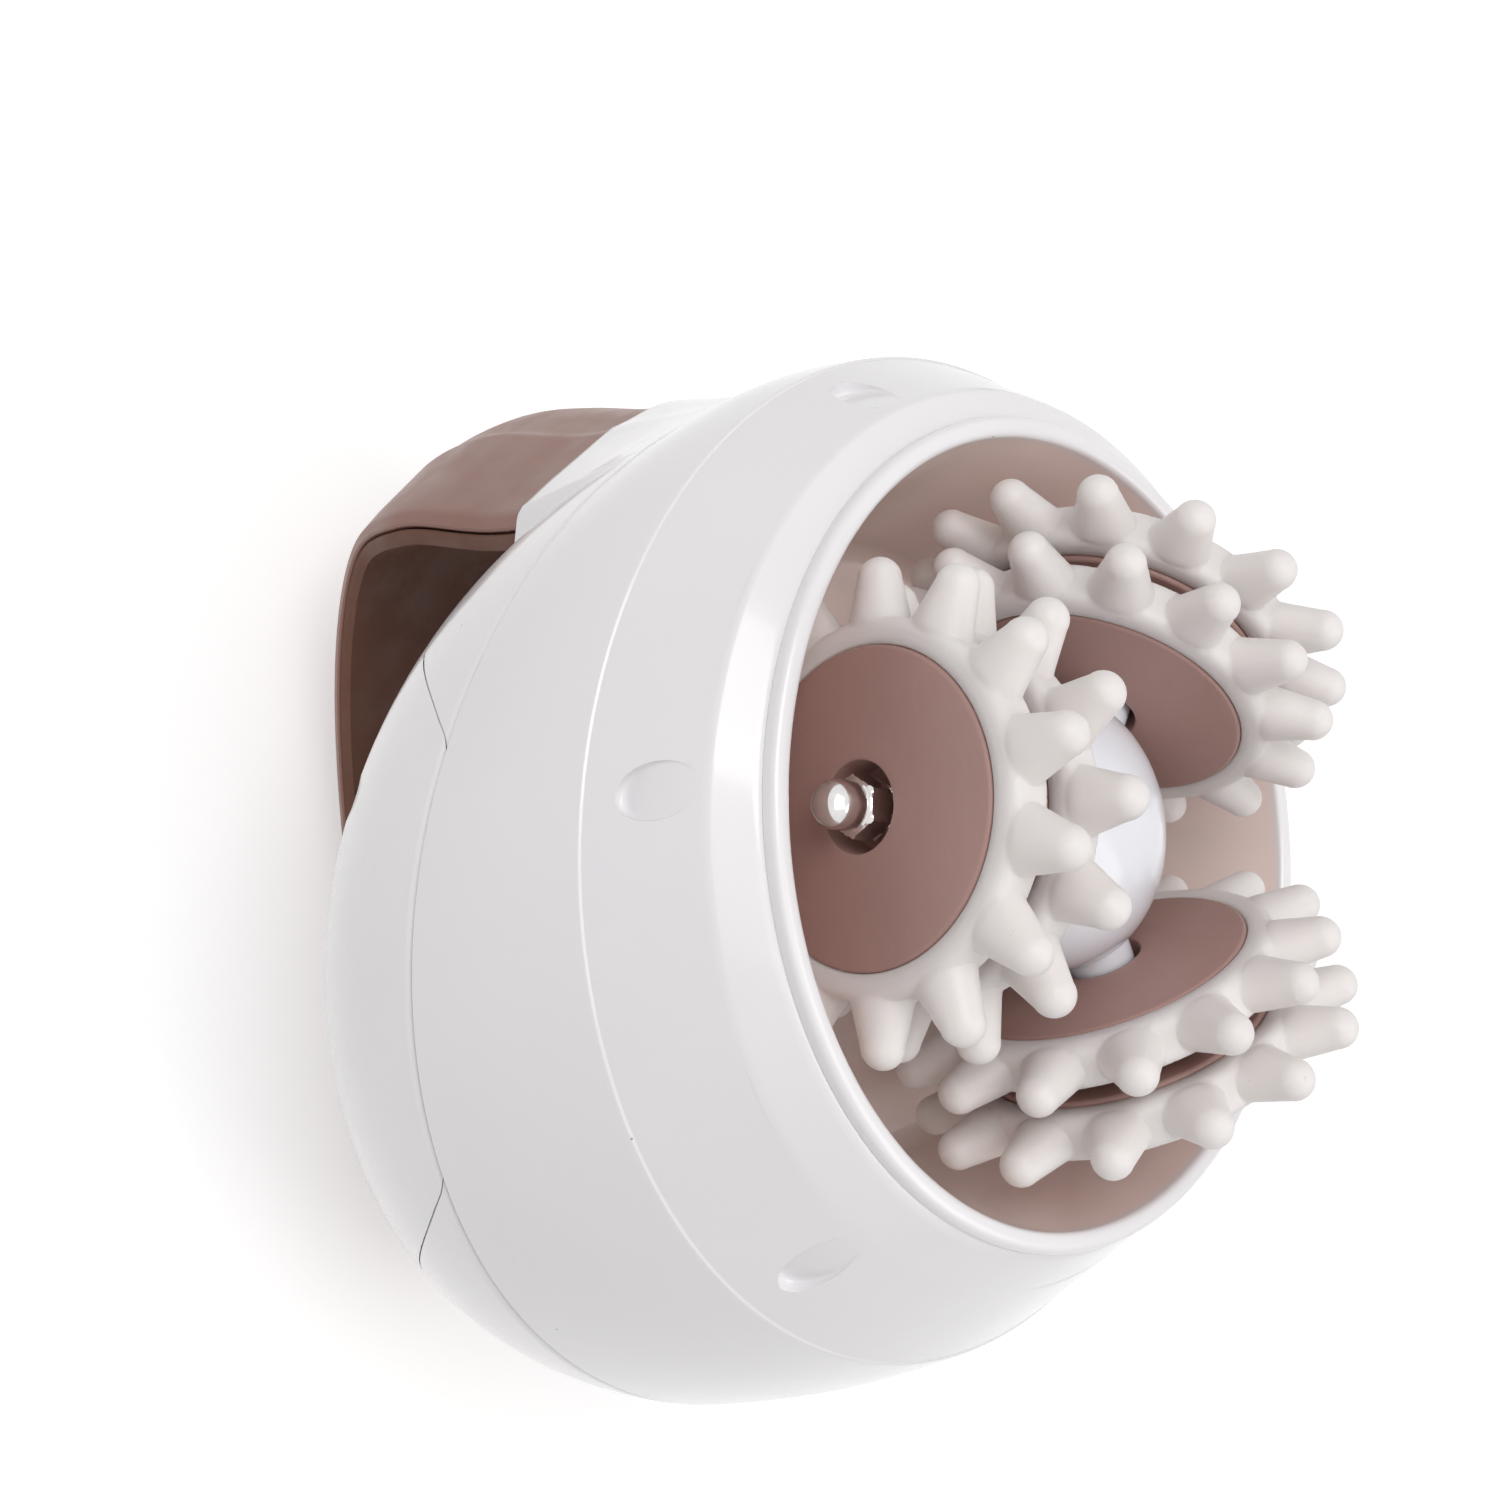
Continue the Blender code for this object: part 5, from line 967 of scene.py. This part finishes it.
def trim_strap(made):
    """Cut the strap's roots back to the lugs and to the dome."""
    carve(made, thing("dome_tool", dome_skin(-GAP, start=-CUT_OVER, bevel=False), from_seam))
    front = rounded_bar(TRIM_HALF, TRIM_HALF, ((-LUG_DEPTH - GAP, 0), (TRIM_ABOVE, 0)), TRIM_CORNER, 2)
    carve(made, thing("front_tool", capped(front), from_seam))


class MASSAGER_OT_strap(Operator):
    """Taupe strap skin with its soft creases, and the brown grip that closes it"""
    bl_idname = "massager.strap"
    bl_label = "Strap handle"

    def execute(self, context):
        wide = np.unique(np.concatenate([np.linspace(0, 0.95, 23), STRAP_SHARES]))
        line = lug_line(wide)
        edge = STRAP_HALF - STRAP_SKIN
        top = np.stack([STRAP_HALF * wide, STRAP_DROP * line], 1)
        top = np.concatenate([top, [(STRAP_HALF, STRAP_DROP - STRAP_EDGE),
                                    (STRAP_HALF - STRAP_EDGE / 3, STRAP_DROP - STRAP_EDGE / 3),
                                    (STRAP_HALF - STRAP_EDGE, STRAP_DROP)]])
        low = np.stack([edge * wide, STRAP_SKIN + (STRAP_DROP - STRAP_SKIN) * line], 1)
        low = np.concatenate([low, [(edge, STRAP_DROP - STRAP_EDGE * share) for share in (1, 0.5, 0)]])
        shell = thing("strap_skin", strap_skin(top, low))
        trim_strap(shell)
        settle(shell, satin_finish("strap_taupe", colours().strap, roughness=0.38), "body", "taupe_plastic",
               "handle_shell")

        edge = STRAP_HALF - STRAP_SKIN - GAP
        crease = STRAP_DROP - STRAP_INNER
        half = np.linspace(0, 0.80, 14)
        top = [(edge * s, STRAP_INNER + crease * s * s) for s in half]
        top += [(edge, STRAP_DROP), (edge, STRAP_DROP + GAP), (STRAP_HALF - GRIP_EDGE, STRAP_DROP + GAP),
                (STRAP_HALF, STRAP_DROP + GAP + GRIP_EDGE),
                (STRAP_HALF - GRIP_EDGE / 2, STRAP_DROP + GRIP_LIP)]
        low = [(edge * s, STRAP_INNER + GRIP_SKIN + crease * s * s) for s in np.linspace(0, 0.93, 18)]
        low += [(STRAP_HALF - GRIP_SKIN / 3, STRAP_DROP + GRIP_SKIN - GAP)]
        grip = thing("strap_grip", strap_skin(top, low))
        trim_strap(grip)
        finish = satin_finish("grip_brown", colours().grip, roughness=0.60, scuffs=0.2)
        settle(grip, finish, "body", "brown_grip", "handle_grip")
        return {"FINISHED"}


# Rotor

def on_axle(number, reach):
    """A function that takes points about an arm's axle, with Z outwards, to the world."""
    turn = ROTOR_TURN + number * 2 * math.pi / ARMS
    c, s = math.cos(turn), math.sin(turn)
    axes = np.array([(0, 0, -1), (-s, c, 0), (c, s, 0)])
    middle = np.array([reach * c, ROTOR_Y + reach * s, RIM_Z - AXLE_DROP])
    return lambda points: points @ axes + middle


class MASSAGER_OT_hub(Operator):
    """White hub in two halves, with its stem"""
    bl_idname = "massager.hub"
    bl_label = "Hub"

    def execute(self, context):
        finish = casing_finish("hub_white", colours().hub)
        place = (0, ROTOR_Y, RIM_Z - AXLE_DROP)
        split, chamfer = GAP / 2, 2 * FINE_EDGE
        rise = np.linspace(HUB_START, math.pi / 2, 30)
        cap = [(0, split), (HUB_RADIUS - chamfer, split)]
        cap += [(HUB_RADIUS * math.cos(t), split + HUB_RISE * math.sin(t)) for t in rise]
        made = thing("hub_dome", lathe(cap, shift=place))
        settle(made, finish, "rotor", "hub_white", "hub_cap")
        fall = np.linspace(HUB_START, math.acos(STEM_RADIUS / HUB_RADIUS), 20)
        base = [(STEM_BORE, -split), (HUB_RADIUS - chamfer, -split)]
        base += [(HUB_RADIUS * math.cos(t), -split - HUB_FALL * math.sin(t)) for t in fall]
        base += [(STEM_RADIUS, -STEM_LENGTH + STEM_CHAMFER), (STEM_RADIUS - STEM_CHAMFER, -STEM_LENGTH),
                 (STEM_BORE, -STEM_LENGTH)]
        made = thing("hub_stem", lathe(base, shift=place, ring=True))
        settle(made, finish, "rotor", "hub_white", "hub_base")
        return {"FINISHED"}


def sleeve_skin():
    """Short sleeve whose outer end is notched: the end's height steps down at twelve places."""
    sides = 12 * SLEEVE_NOTCHES
    turn = np.linspace(0, 2 * math.pi, sides, endpoint=False)
    end = SLEEVE_TO - (np.arange(sides) % 12 < 4) * SLEEVE_NOTCH
    start, cup = np.full(sides, SLEEVE_FROM), SLEEVE_BORE + SLEEVE_LEDGE
    rows = [(SLEEVE_BORE, start), (SLEEVE_RADIUS, start), (SLEEVE_RADIUS, end - 2 * FINE_EDGE),
            (SLEEVE_RADIUS - 2 * FINE_EDGE, end), (cup, end), (cup, end - SLEEVE_CUP),
            (SLEEVE_BORE, end - SLEEVE_CUP)]
    grid = np.stack([np.stack([r * np.cos(turn), r * np.sin(turn), h], -1) for r, h in rows])
    return Skin().patch(grid, True, True)


def nut_skin(flats, dome):
    """Plain nut and cap nut: r is the least of the hexagon, flats / cos(a), and of chamfer cones."""
    turn = np.linspace(0, 2 * math.pi, NUT_SIDES, endpoint=False)
    hexagon = flats / np.cos((turn + math.pi / 6) % (math.pi / 3) - math.pi / 6)

    def ring(radius):
        return np.full(NUT_SIDES, radius)

    rows = []
    for low, high in (NUT_LOW, NUT_HIGH):
        for height in [low + up for up in NUT_ROWS_LOW] + [high - down for down in NUT_ROWS_HIGH]:
            from_end = min(height - low, high - height)
            rows.append((np.minimum(hexagon, flats * NUT_CHAMFER + from_end * NUT_SLOPE), height))
        if high < NUT_HIGH[0]:
            neck = ring(flats * NUT_NECK)
            rows += [(neck, high + NUT_STEP), (neck, NUT_HIGH[0] - NUT_STEP)]
    rows += [(ring(dome + NUT_FILLET_OUT), NUT_HIGH[1]), (ring(dome), NUT_HIGH[1] + NUT_FILLET_UP)]
    rise = np.linspace(0, math.pi / 2, 16)
    rows += [(ring(dome * math.cos(t)), NUT_END - dome + dome * math.sin(t)) for t in rise]
    bore = [(ring(0), NUT_BORE_TIP), (ring(AXLE_HOLE), NUT_BORE), (ring(AXLE_HOLE), NUT_LOW[0])]
    grid = np.stack([np.stack([r * np.cos(turn), r * np.sin(turn), ring(h)], -1) for r, h in bore + rows])
    return Skin().patch(grid, wrap_columns=True)


class MASSAGER_OT_arms(Operator):
    """Sleeves, washers and chrome cap nuts of the three arms"""
    bl_idname = "massager.arms"
    bl_label = "Arms"

    def execute(self, context):
        settings = sizes()
        white = casing_finish("sleeve_white", colours().hub)
        chrome = metal_finish("chrome_plate", CHROME, roughness=0.10)
        steel = metal_finish("washer_steel", WASHER_STEEL, roughness=0.34)
        rim, low, high = WASHER_RADIUS - FINE_EDGE, WASHER_FROM, WASHER_TO
        washer = lathe([(AXLE_HOLE, low), (rim, low), (WASHER_RADIUS, low + FINE_EDGE),
                        (WASHER_RADIUS, high - FINE_EDGE), (rim, high), (AXLE_HOLE, high)], 48, ring=True)
        sleeve, nut = sleeve_skin(), nut_skin(settings.nut_flats, settings.nut_dome)
        for number in range(ARMS):
            label = number + 1
            for skin, reach, name, finish, slot, node in (
                    (sleeve, 0, "sleeve", white, "hub_white", "axle_sleeve"),
                    (washer, 0, "washer", steel, "steel", "roller_spacer"),
                    (nut, NUT_REACH, "domed_nut", chrome, "chrome", "cap_nut")):
                made = thing(f"{name}_{label}", skin, on_axle(number, reach), NUT_CREASE)
                settle(made, finish, "rotor", slot, f"{node}_{label}")
        return {"FINISHED"}


def disc_skin(proud):
    """Roller disc turned about Z: a rounded edge, and a recess in its +Z face, crowned by c (1 - (r/R)^2)."""
    half, edge, soft = ROLLER_WIDTH / 2, DISC_EDGE, RECESS_EDGE
    top = half + proud
    floor = half - DISC_RECESS_DEPTH
    face = np.linspace(DISC_RADIUS - edge, DISC_RECESS + soft, 12)
    crown = top + DISC_CROWN * (1 - (face / face[0]) ** 2)
    back = DISC_BACK - half
    profile = [(AXLE_HOLE, back), (DISC_RADIUS - edge, back)]
    profile += arc((DISC_RADIUS - edge, back + edge), edge, -80, 0, 4)
    profile += arc((DISC_RADIUS - edge, top - edge), edge, 0, 90)
    profile += list(zip(face[1:-1], crown[1:-1]))
    profile += arc((DISC_RECESS + soft, crown[-1] - soft), soft, 90, 180, 4)
    profile += arc((DISC_RECESS - edge, floor + edge), edge, 0, -90, 4)
    profile += [(AXLE_HOLE + DISC_RELIEF, floor), (AXLE_HOLE, floor)]
    return lathe(profile, 144, ring=True)


def tyre_skin(rounding, nub_base, nub_round, nub_tip):
    """Silicone ring with fourteen round-tipped cones, one polar patch for each.

    The ring's skin is r(s), z(s) along its section's length s: flat, quarter rounds, then side faces. A
    nub starts on an oval of that skin, rises by a quadratic curve into its cone, and ends in half an
    ellipse: h = h0 + e sin q, c = c0 cos q. Round the tyre the foot is wider, and the tip is not.
    """
    half = TYRE_WIDTH / 2
    flat = half - rounding
    bend = rounding * math.pi / 2
    reach = flat + bend + TYRE_SIDE

    def ring_at(turn, s):
        past = np.clip(np.abs(s) - flat, 0, bend) / rounding
        down = np.clip(np.abs(s) - flat - bend, 0, None)
        radius = TYRE_RADIUS - rounding * (1 - np.cos(past)) - down
        z = np.sign(s) * (np.minimum(np.abs(s), flat) + rounding * np.sin(past))
        return np.stack([radius * np.cos(turn), radius * np.sin(turn), z], -1)

    columns, rows = 12, 12
    loop, about = square_loop(columns, rows)
    foot = nub_base + NUB_FOOT
    hole_turn, hole_s = (foot + nub_round) * np.sin(about) / TYRE_RADIUS, foot * np.cos(about)
    edge_turn, edge_s = loop[:, 0] * NUB_STEP / 2, loop[:, 1] * reach
    outward = np.linspace(1, 0, 5)[:, None]
    skirt = ring_at(hole_turn + (edge_turn - hole_turn) * outward, hole_s + (edge_s - hole_s) * outward)

    def cone_at(height):
        share = (height - low) / (tip_low - low)
        radius = nub_base + (nub_tip - nub_base) * share
        return ring_round(radius + nub_round * (1 - share), radius, height)

    def ring_round(along, across, height):
        return np.stack([np.full(len(about), height), along * np.sin(about), across * np.cos(about)], -1)

    low, cone_low, tip_low = TYRE_RADIUS + NUB_LOW, TYRE_RADIUS + NUB_CONE, NUB_ROUND_FROM
    base = skirt[-1]
    u = np.linspace(0, 1, 7)[1:, None, None]
    fillet = (1 - u) ** 2 * base + 2 * u * (1 - u) * cone_at(low) + u * u * cone_at(cone_low)
    cone = np.stack([cone_at(h) for h in np.linspace(cone_low, tip_low, 5)[1:]])
    rise = np.linspace(0, math.pi / 2, 9)[1:]
    tip = np.stack([ring_round(nub_tip * math.cos(q), nub_tip * math.cos(q),
                               tip_low + (NUB_TIP - tip_low) * math.sin(q)) for q in rise])
    sector = np.concatenate([skirt, fillet, cone, tip])
    skin = Skin()
    for number in range(NUB_COUNT):
        c, s = math.cos(number * NUB_STEP), math.sin(number * NUB_STEP)
        skin.patch(sector @ np.array([(c, s, 0), (-s, c, 0), (0, 0, 1)]), wrap_columns=True)
    turn = -NUB_STEP / 2 + np.linspace(0, 2 * math.pi, NUB_COUNT * columns, endpoint=False)
    upper = ring_at(turn, np.full(len(turn), reach))
    lower = ring_at(turn, np.full(len(turn), -reach))
    soft = BORE_EDGE
    bore = [np.stack([r * np.cos(turn), r * np.sin(turn), np.full(len(turn), h)], -1)
            for r, h in ((TYRE_BORE + soft, half), (TYRE_BORE, half - soft), (TYRE_BORE, -half + soft),
                         (TYRE_BORE + soft, -half))]
    skin.patch(np.stack([upper, *bore, lower]), wrap_columns=True)
    return skin


class MASSAGER_OT_rollers(Operator):
    """Six taupe discs, each with its studded silicone tyre"""
    bl_idname = "massager.rollers"
    bl_label = "Rollers"

    def execute(self, context):
        settings = sizes()
        taupe = satin_finish("disc_taupe", colours().disc)
        silicone = silicone_finish(colours().silicone)
        disc = disc_skin(settings.disc_proud)
        tyre = tyre_skin(settings.tyre_round, settings.nub_base, settings.nub_round, settings.nub_tip)
        half_step = NUB_STEP / 2
        turned_tyre = tyre.moved(lambda p: p @ np.array([
            (math.cos(half_step), math.sin(half_step), 0), (-math.sin(half_step), math.cos(half_step), 0),
            (0, 0, 1)]))
        flipped = disc.moved(lambda p: p * (1, -1, -1))
        for number in range(ARMS):
            for place, reach in ROLLER_REACH.items():
                label, body = f"{place}_{number + 1}", f"{place}_roller_{number + 1}"
                move = on_axle(number, reach)
                core, ring, shift = ((flipped, tyre, -TYRE_SHIFT) if place == "inner"
                                     else (disc, turned_tyre, TYRE_SHIFT))
                settle(thing(f"disc_{label}", core, move), taupe, body, "taupe_plastic",
                       f"{place}_core_{number + 1}")
                ring = ring.moved(lambda p, s=shift: p + (0, 0, s))
                settle(thing(f"tyre_{label}", ring, move, TYRE_CREASE), silicone, body, "white_silicone",
                       f"{place}_tyre_{number + 1}")
        return {"FINISHED"}


# Side fittings and screws

class MASSAGER_OT_side_fittings(Operator):
    """Rocker switch in its frame, and the round power inlet"""
    bl_idname = "massager.side_fittings"
    bl_label = "Switch and inlet"

    def execute(self, context):
        to_world = on_side(SWITCH_DEPTH)
        top = SWITCH_PROUD
        rows = ((top - SWITCH_HEIGHT, SWITCH_FOOT), (top - SWITCH_HEIGHT + SWITCH_FOOT, 0),
                (top - SWITCH_RIM, 0), (top - FINE_EDGE, FINE_EDGE), (top, SWITCH_RIM))
        outside = rounded_bar(SWITCH_WIDTH / 2, SWITCH_LENGTH / 2, rows, SWITCH_CORNER)
        rows = ((top, -WINDOW_RIM), (top - WINDOW_RIM, 0), (top - WINDOW_DEPTH, 0))
        window = rounded_bar(WINDOW_WIDTH / 2, WINDOW_LENGTH / 2, rows, WINDOW_CORNER)
        floor = np.broadcast_to(window[-1:].mean(axis=1, keepdims=True), window[-1:].shape)
        back = np.broadcast_to(outside[:1].mean(axis=1, keepdims=True), outside[:1].shape)
        case = Skin().patch(np.concatenate([back, outside, window, floor]), wrap_columns=True)
        made = thing("switch_frame", case, to_world)
        settle(made, satin_finish("switch_taupe", colours().strap, roughness=0.36), "body", "taupe_plastic",
               "switch_case")

        half = ROCKER_LENGTH / 2
        y = np.linspace(-half, half, 33)
        face = ROCKER_FACE + ROCKER_DISH * (y / half) ** 2
        heel = np.linspace(0, -math.pi, 21)[1:-1]
        corner = half - FINE_EDGE
        outline_y = np.concatenate([y[:-1], [corner], half * np.cos(heel) * HEEL_SHARE, [-corner]])
        outline_z = np.concatenate([face[:-1], [ROCKER_SHOULDER], -HEEL_SINK + HEEL_DEPTH * np.sin(heel),
                                    [ROCKER_SHOULDER]])
        grid = []
        for x, shrink in [(-x, shrink) for x, shrink in ROCKER_ENDS] + list(ROCKER_ENDS[::-1]):
            grid.append(np.stack([np.full(len(outline_y), x * ROCKER_WIDTH / 2),
                                  outline_y * (1 - shrink / half), outline_z - shrink], -1))
        tilt = np.array([(1, 0, 0), (0, math.cos(ROCKER_TILT), -math.sin(ROCKER_TILT)),
                         (0, math.sin(ROCKER_TILT), math.cos(ROCKER_TILT))])

        def seat(points):
            return to_world(points @ tilt + (0, 0, SWITCH_PROUD - PIVOT_SINK))

        rocker = thing("rocker", capped(np.array(grid)), seat)
        settle(rocker, casing_finish("rocker_white", colours().casing), "switch", "gloss_white",
               "switch_rocker")
        grey = satin_finish("mark_grey", paint(120, 112, 110), roughness=0.5)
        inner, outer = MARK_RING
        ring = lathe([(inner, 0.0), (outer, 0.0), (outer, MARK_HIGH), (inner, MARK_HIGH)], 40, ring=True)
        bar = capped(rounded_bar(*MARK_BAR, ((0, 0), (MARK_HIGH, 0)), MARK_CORNER, 3))
        lean = np.arctan(2 * ROCKER_DISH * MARK_AT / half)
        height = ROCKER_FACE + ROCKER_DISH * MARK_AT ** 2 - MARK_SINK
        for name, shape, sign in (("mark_ring", ring, -1), ("mark_bar", bar, 1)):
            c, s = math.cos(sign * lean), math.sin(sign * lean)
            axes = np.array([(1, 0, 0), (0, c, s), (0, -s, c)])
            middle = np.array([0, sign * half * MARK_AT, height])
            made = thing(name, shape, lambda p, a=axes, m=middle: seat(p @ a + m))
            settle(made, grey, "switch", "taupe_plastic")

        proud, low = INLET_PROUD, INLET_PROUD - INLET_LENGTH
        edge, hole, pin = INLET_RADIUS, SOCKET_RADIUS, SOCKET_PIN
        floor, tip = proud - SOCKET_DEPTH, proud - SOCKET_TIP
        profile = [(0, low), (edge, low), (edge, proud - INLET_EDGE), (edge - INLET_EDGE, proud),
                   (hole + SOCKET_EDGE, proud), (hole, proud - SOCKET_EDGE), (hole, floor), (pin, floor),
                   (pin, tip - PIN_POINT), (pin - PIN_EDGE, tip), (0, tip)]
        made = thing("power_socket", lathe(profile, 64), on_side(INLET_DEPTH))
        black = satin_finish("socket_black", paint(38, 36, 36), roughness=0.40, scuffs=0.15)
        settle(made, black, "body", "inlet_black", "power_inlet")
        return {"FINISHED"}


class MASSAGER_OT_screws(Operator):
    """Pan-head screws with a cross in the dome's wells"""
    bl_idname = "massager.screws"
    bl_label = "Case screws"

    def execute(self, context):
        steel = metal_finish("screw_steel", SCREW_STEEL, roughness=0.28)
        head, high = HEAD_RADIUS, HEAD_HEIGHT
        rise = np.linspace(math.pi / 2, HEAD_START, 9)
        profile = [(head * math.cos(t), -high * HEAD_WALL - high * HEAD_TOP * math.sin(t)) for t in rise]
        profile += [(head, -high * HEAD_EDGE), (head, 0), (THREAD_RADIUS, 0), (THREAD_RADIUS, THREAD_LENGTH),
                    (POINT_RADIUS, THREAD_POINT), (0, THREAD_TIP)]
        for label, (x, y) in enumerate(sorted(screw_places(), reverse=True), 1):
            shift = (x, y, -SCREW_SEAT)
            made = thing(f"case_screw_{label}", lathe(profile, 48, shift), from_seam)
            for wide, long in ((CROSS_HALF, CROSS_REACH), (CROSS_REACH, CROSS_HALF)):
                rows = ((-high - CROSS_OVER, 0), (-high + CROSS_DEPTH, 0))
                slot = capped(rounded_bar(wide, long, rows, CROSS_CORNER, 3) + shift)
                carve(made, thing("slot", slot, from_seam))
            settle(made, steel, "body", "steel", f"housing_screw_{label}")
        return {"FINISHED"}


class MASSAGER_OT_works(Operator):
    """Finishes of the pieces inside the case"""
    bl_idname = "massager.works"
    bl_label = "Drive train"

    def execute(self, context):
        steel = metal_finish("turned_steel", TURNED_STEEL, roughness=0.30, grain=900, depth=0.000006,
                             stretch=(1.0, 1.0, 0.1))
        plate = metal_finish("plate_zinc", ZINC, roughness=0.38, grain=300)
        can = metal_finish("motor_can", MOTOR_CAN, roughness=0.34, grain=800, depth=0.000005,
                           stretch=(1.0, 1.0, 0.15))
        nylon = satin_finish("natural_nylon", paint(228, 222, 204), scuffs=0.2)
        finishes = {"gear_plate": plate, "motor": can, "circuit_board": board_finish(),
                    "compound_gear": nylon, "drive_gear": nylon, "motor_pinion": nylon}
        for name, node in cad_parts.items():
            if not node.hide_render:
                for slot in node.material_slots:
                    slot.material = finishes.get(name, steel)
        return {"FINISHED"}


# Stage

class MASSAGER_OT_stage(Operator):
    """Pale floor, soft studio light and the camera"""
    bl_idname = "massager.stage"
    bl_label = "Stage"

    def execute(self, context):
        scene = context.scene
        steps = np.linspace(-FLOOR_HALF, FLOOR_HALF, 9)
        x, y = np.meshgrid(steps, steps)
        floor = thing("floor", Skin().patch(np.stack([x, y, np.zeros_like(x)], -1)))
        if floor.data.polygons[0].normal.z < 0:
            floor.data.flip_normals()
        graph = Graph("floor_white", Roughness=0.9)
        tone = graph.ramp(graph.noise(3, 2), 0.3, 0.7)
        graph.feed("Base Color", graph.mix(tone, FLOOR_DARK, FLOOR_LIGHT))
        path = graph.tree.nodes.new("ShaderNodeLightPath")
        camera_ray, glossy_ray, through_ray = (Value(graph, path.outputs[name]) for name in RAYS)
        x, y, _ = graph.split()
        far = (x * x + y * y) ** 0.5
        strength = (camera_ray + glossy_ray + through_ray) * graph.ramp(
            far, GLOW_FROM, GLOW_TO, FLOOR_GLOW_NEAR, FLOOR_GLOW_FAR)
        glow = graph.node("ShaderNodeEmission", {}, {"Strength": strength})
        both = graph.node("ShaderNodeAddShader", {}, {0: Value(graph, graph.shader.outputs[0]), 1: glow})
        output = graph.tree.nodes["Material Output"]
        graph.tree.links.new(both.socket, output.inputs["Surface"])
        floor.data.materials.append(graph.material)

        world = bpy.data.worlds.new("studio")
        scene.world = world
        world.use_nodes = True
        nodes, links = world.node_tree.nodes, world.node_tree.links
        back = nodes["Background"]
        back.inputs["Color"].default_value = WORLD_COLOUR
        path = nodes.new("ShaderNodeLightPath")
        seen = path.outputs[RAYS[0]]
        for name in RAYS[1:]:
            most = nodes.new("ShaderNodeMath")
            most.operation = "MAXIMUM"
            links.new(seen, most.inputs[0])
            links.new(path.outputs[name], most.inputs[1])
            seen = most.outputs[0]
        span = nodes.new("ShaderNodeMapRange")
        span.inputs["To Min"].default_value, span.inputs["To Max"].default_value = WORLD_LIGHT, WORLD_SEEN
        links.new(seen, span.inputs["Value"])
        links.new(span.outputs[0], back.inputs["Strength"])

        right, up, back_axis = (Vector(v) for v in (CAMERA_RIGHT, CAMERA_UP, CAMERA_BACK))
        middle = Vector(LAMP_MIDDLE)
        for name, (side, rise, front), distance, size, power in LAMPS:
            light = bpy.data.lights.new(name, "AREA")
            light.energy, light.size = power, size
            lamp = bpy.data.objects.new(name, light)
            scene.collection.objects.link(lamp)
            toward = (right * side + up * rise + back_axis * front).normalized()
            lamp.location = middle + toward * distance
            lamp.rotation_euler = toward.to_track_quat("Z", "Y").to_euler()

        camera = bpy.data.cameras.new("camera")
        camera.lens, camera.sensor_width, camera.clip_start = CAMERA_LENS, CAMERA_SENSOR, CAMERA_CLIP
        eye = bpy.data.objects.new("camera", camera)
        scene.collection.objects.link(eye)
        axes = Matrix((right, up, back_axis)).transposed()
        eye.matrix_world = Matrix.Translation(CAMERA_PLACE) @ axes.to_4x4()
        scene.camera = eye
        scene.view_settings.view_transform = "Standard"
        return {"FINISHED"}


class MASSAGER_PT_panel(Panel):
    """Lists the pieces, their sizes and their colours"""
    bl_idname = "MASSAGER_PT_panel"
    bl_label = "Roller massager"
    bl_space_type = "VIEW_3D"
    bl_region_type = "UI"
    bl_category = "Massager"

    def draw(self, context):
        for settings in (context.scene.massager_sizes, context.scene.massager_colours):
            for key in settings.bl_rna.properties.keys():
                if key not in ("rna_type", "name"):
                    self.layout.prop(settings, key)
        for operator in OPERATORS:
            self.layout.operator(operator.bl_idname)


OPERATORS = (MASSAGER_OT_front_housing, MASSAGER_OT_roller_bowl, MASSAGER_OT_rear_housing,
             MASSAGER_OT_collars, MASSAGER_OT_strap, MASSAGER_OT_hub, MASSAGER_OT_arms, MASSAGER_OT_rollers,
             MASSAGER_OT_side_fittings, MASSAGER_OT_screws, MASSAGER_OT_works, MASSAGER_OT_stage)
CLASSES = (MassagerSizes, MassagerColours, *OPERATORS, MASSAGER_PT_panel)


def register():
    """Add the classes and the scene's settings."""
    for item in CLASSES:
        bpy.utils.register_class(item)
    bpy.types.Scene.massager_sizes = PointerProperty(type=MassagerSizes)
    bpy.types.Scene.massager_colours = PointerProperty(type=MassagerColours)


def unregister():
    """Take them away again."""
    del bpy.types.Scene.massager_sizes
    del bpy.types.Scene.massager_colours
    for item in reversed(CLASSES):
        bpy.utils.unregister_class(item)


def main():
    """Build every piece in order."""
    register()
    for operator in OPERATORS:
        group, name = operator.bl_idname.split(".")
        getattr(getattr(bpy.ops, group), name)()


if __name__ == "__main__":
    main()
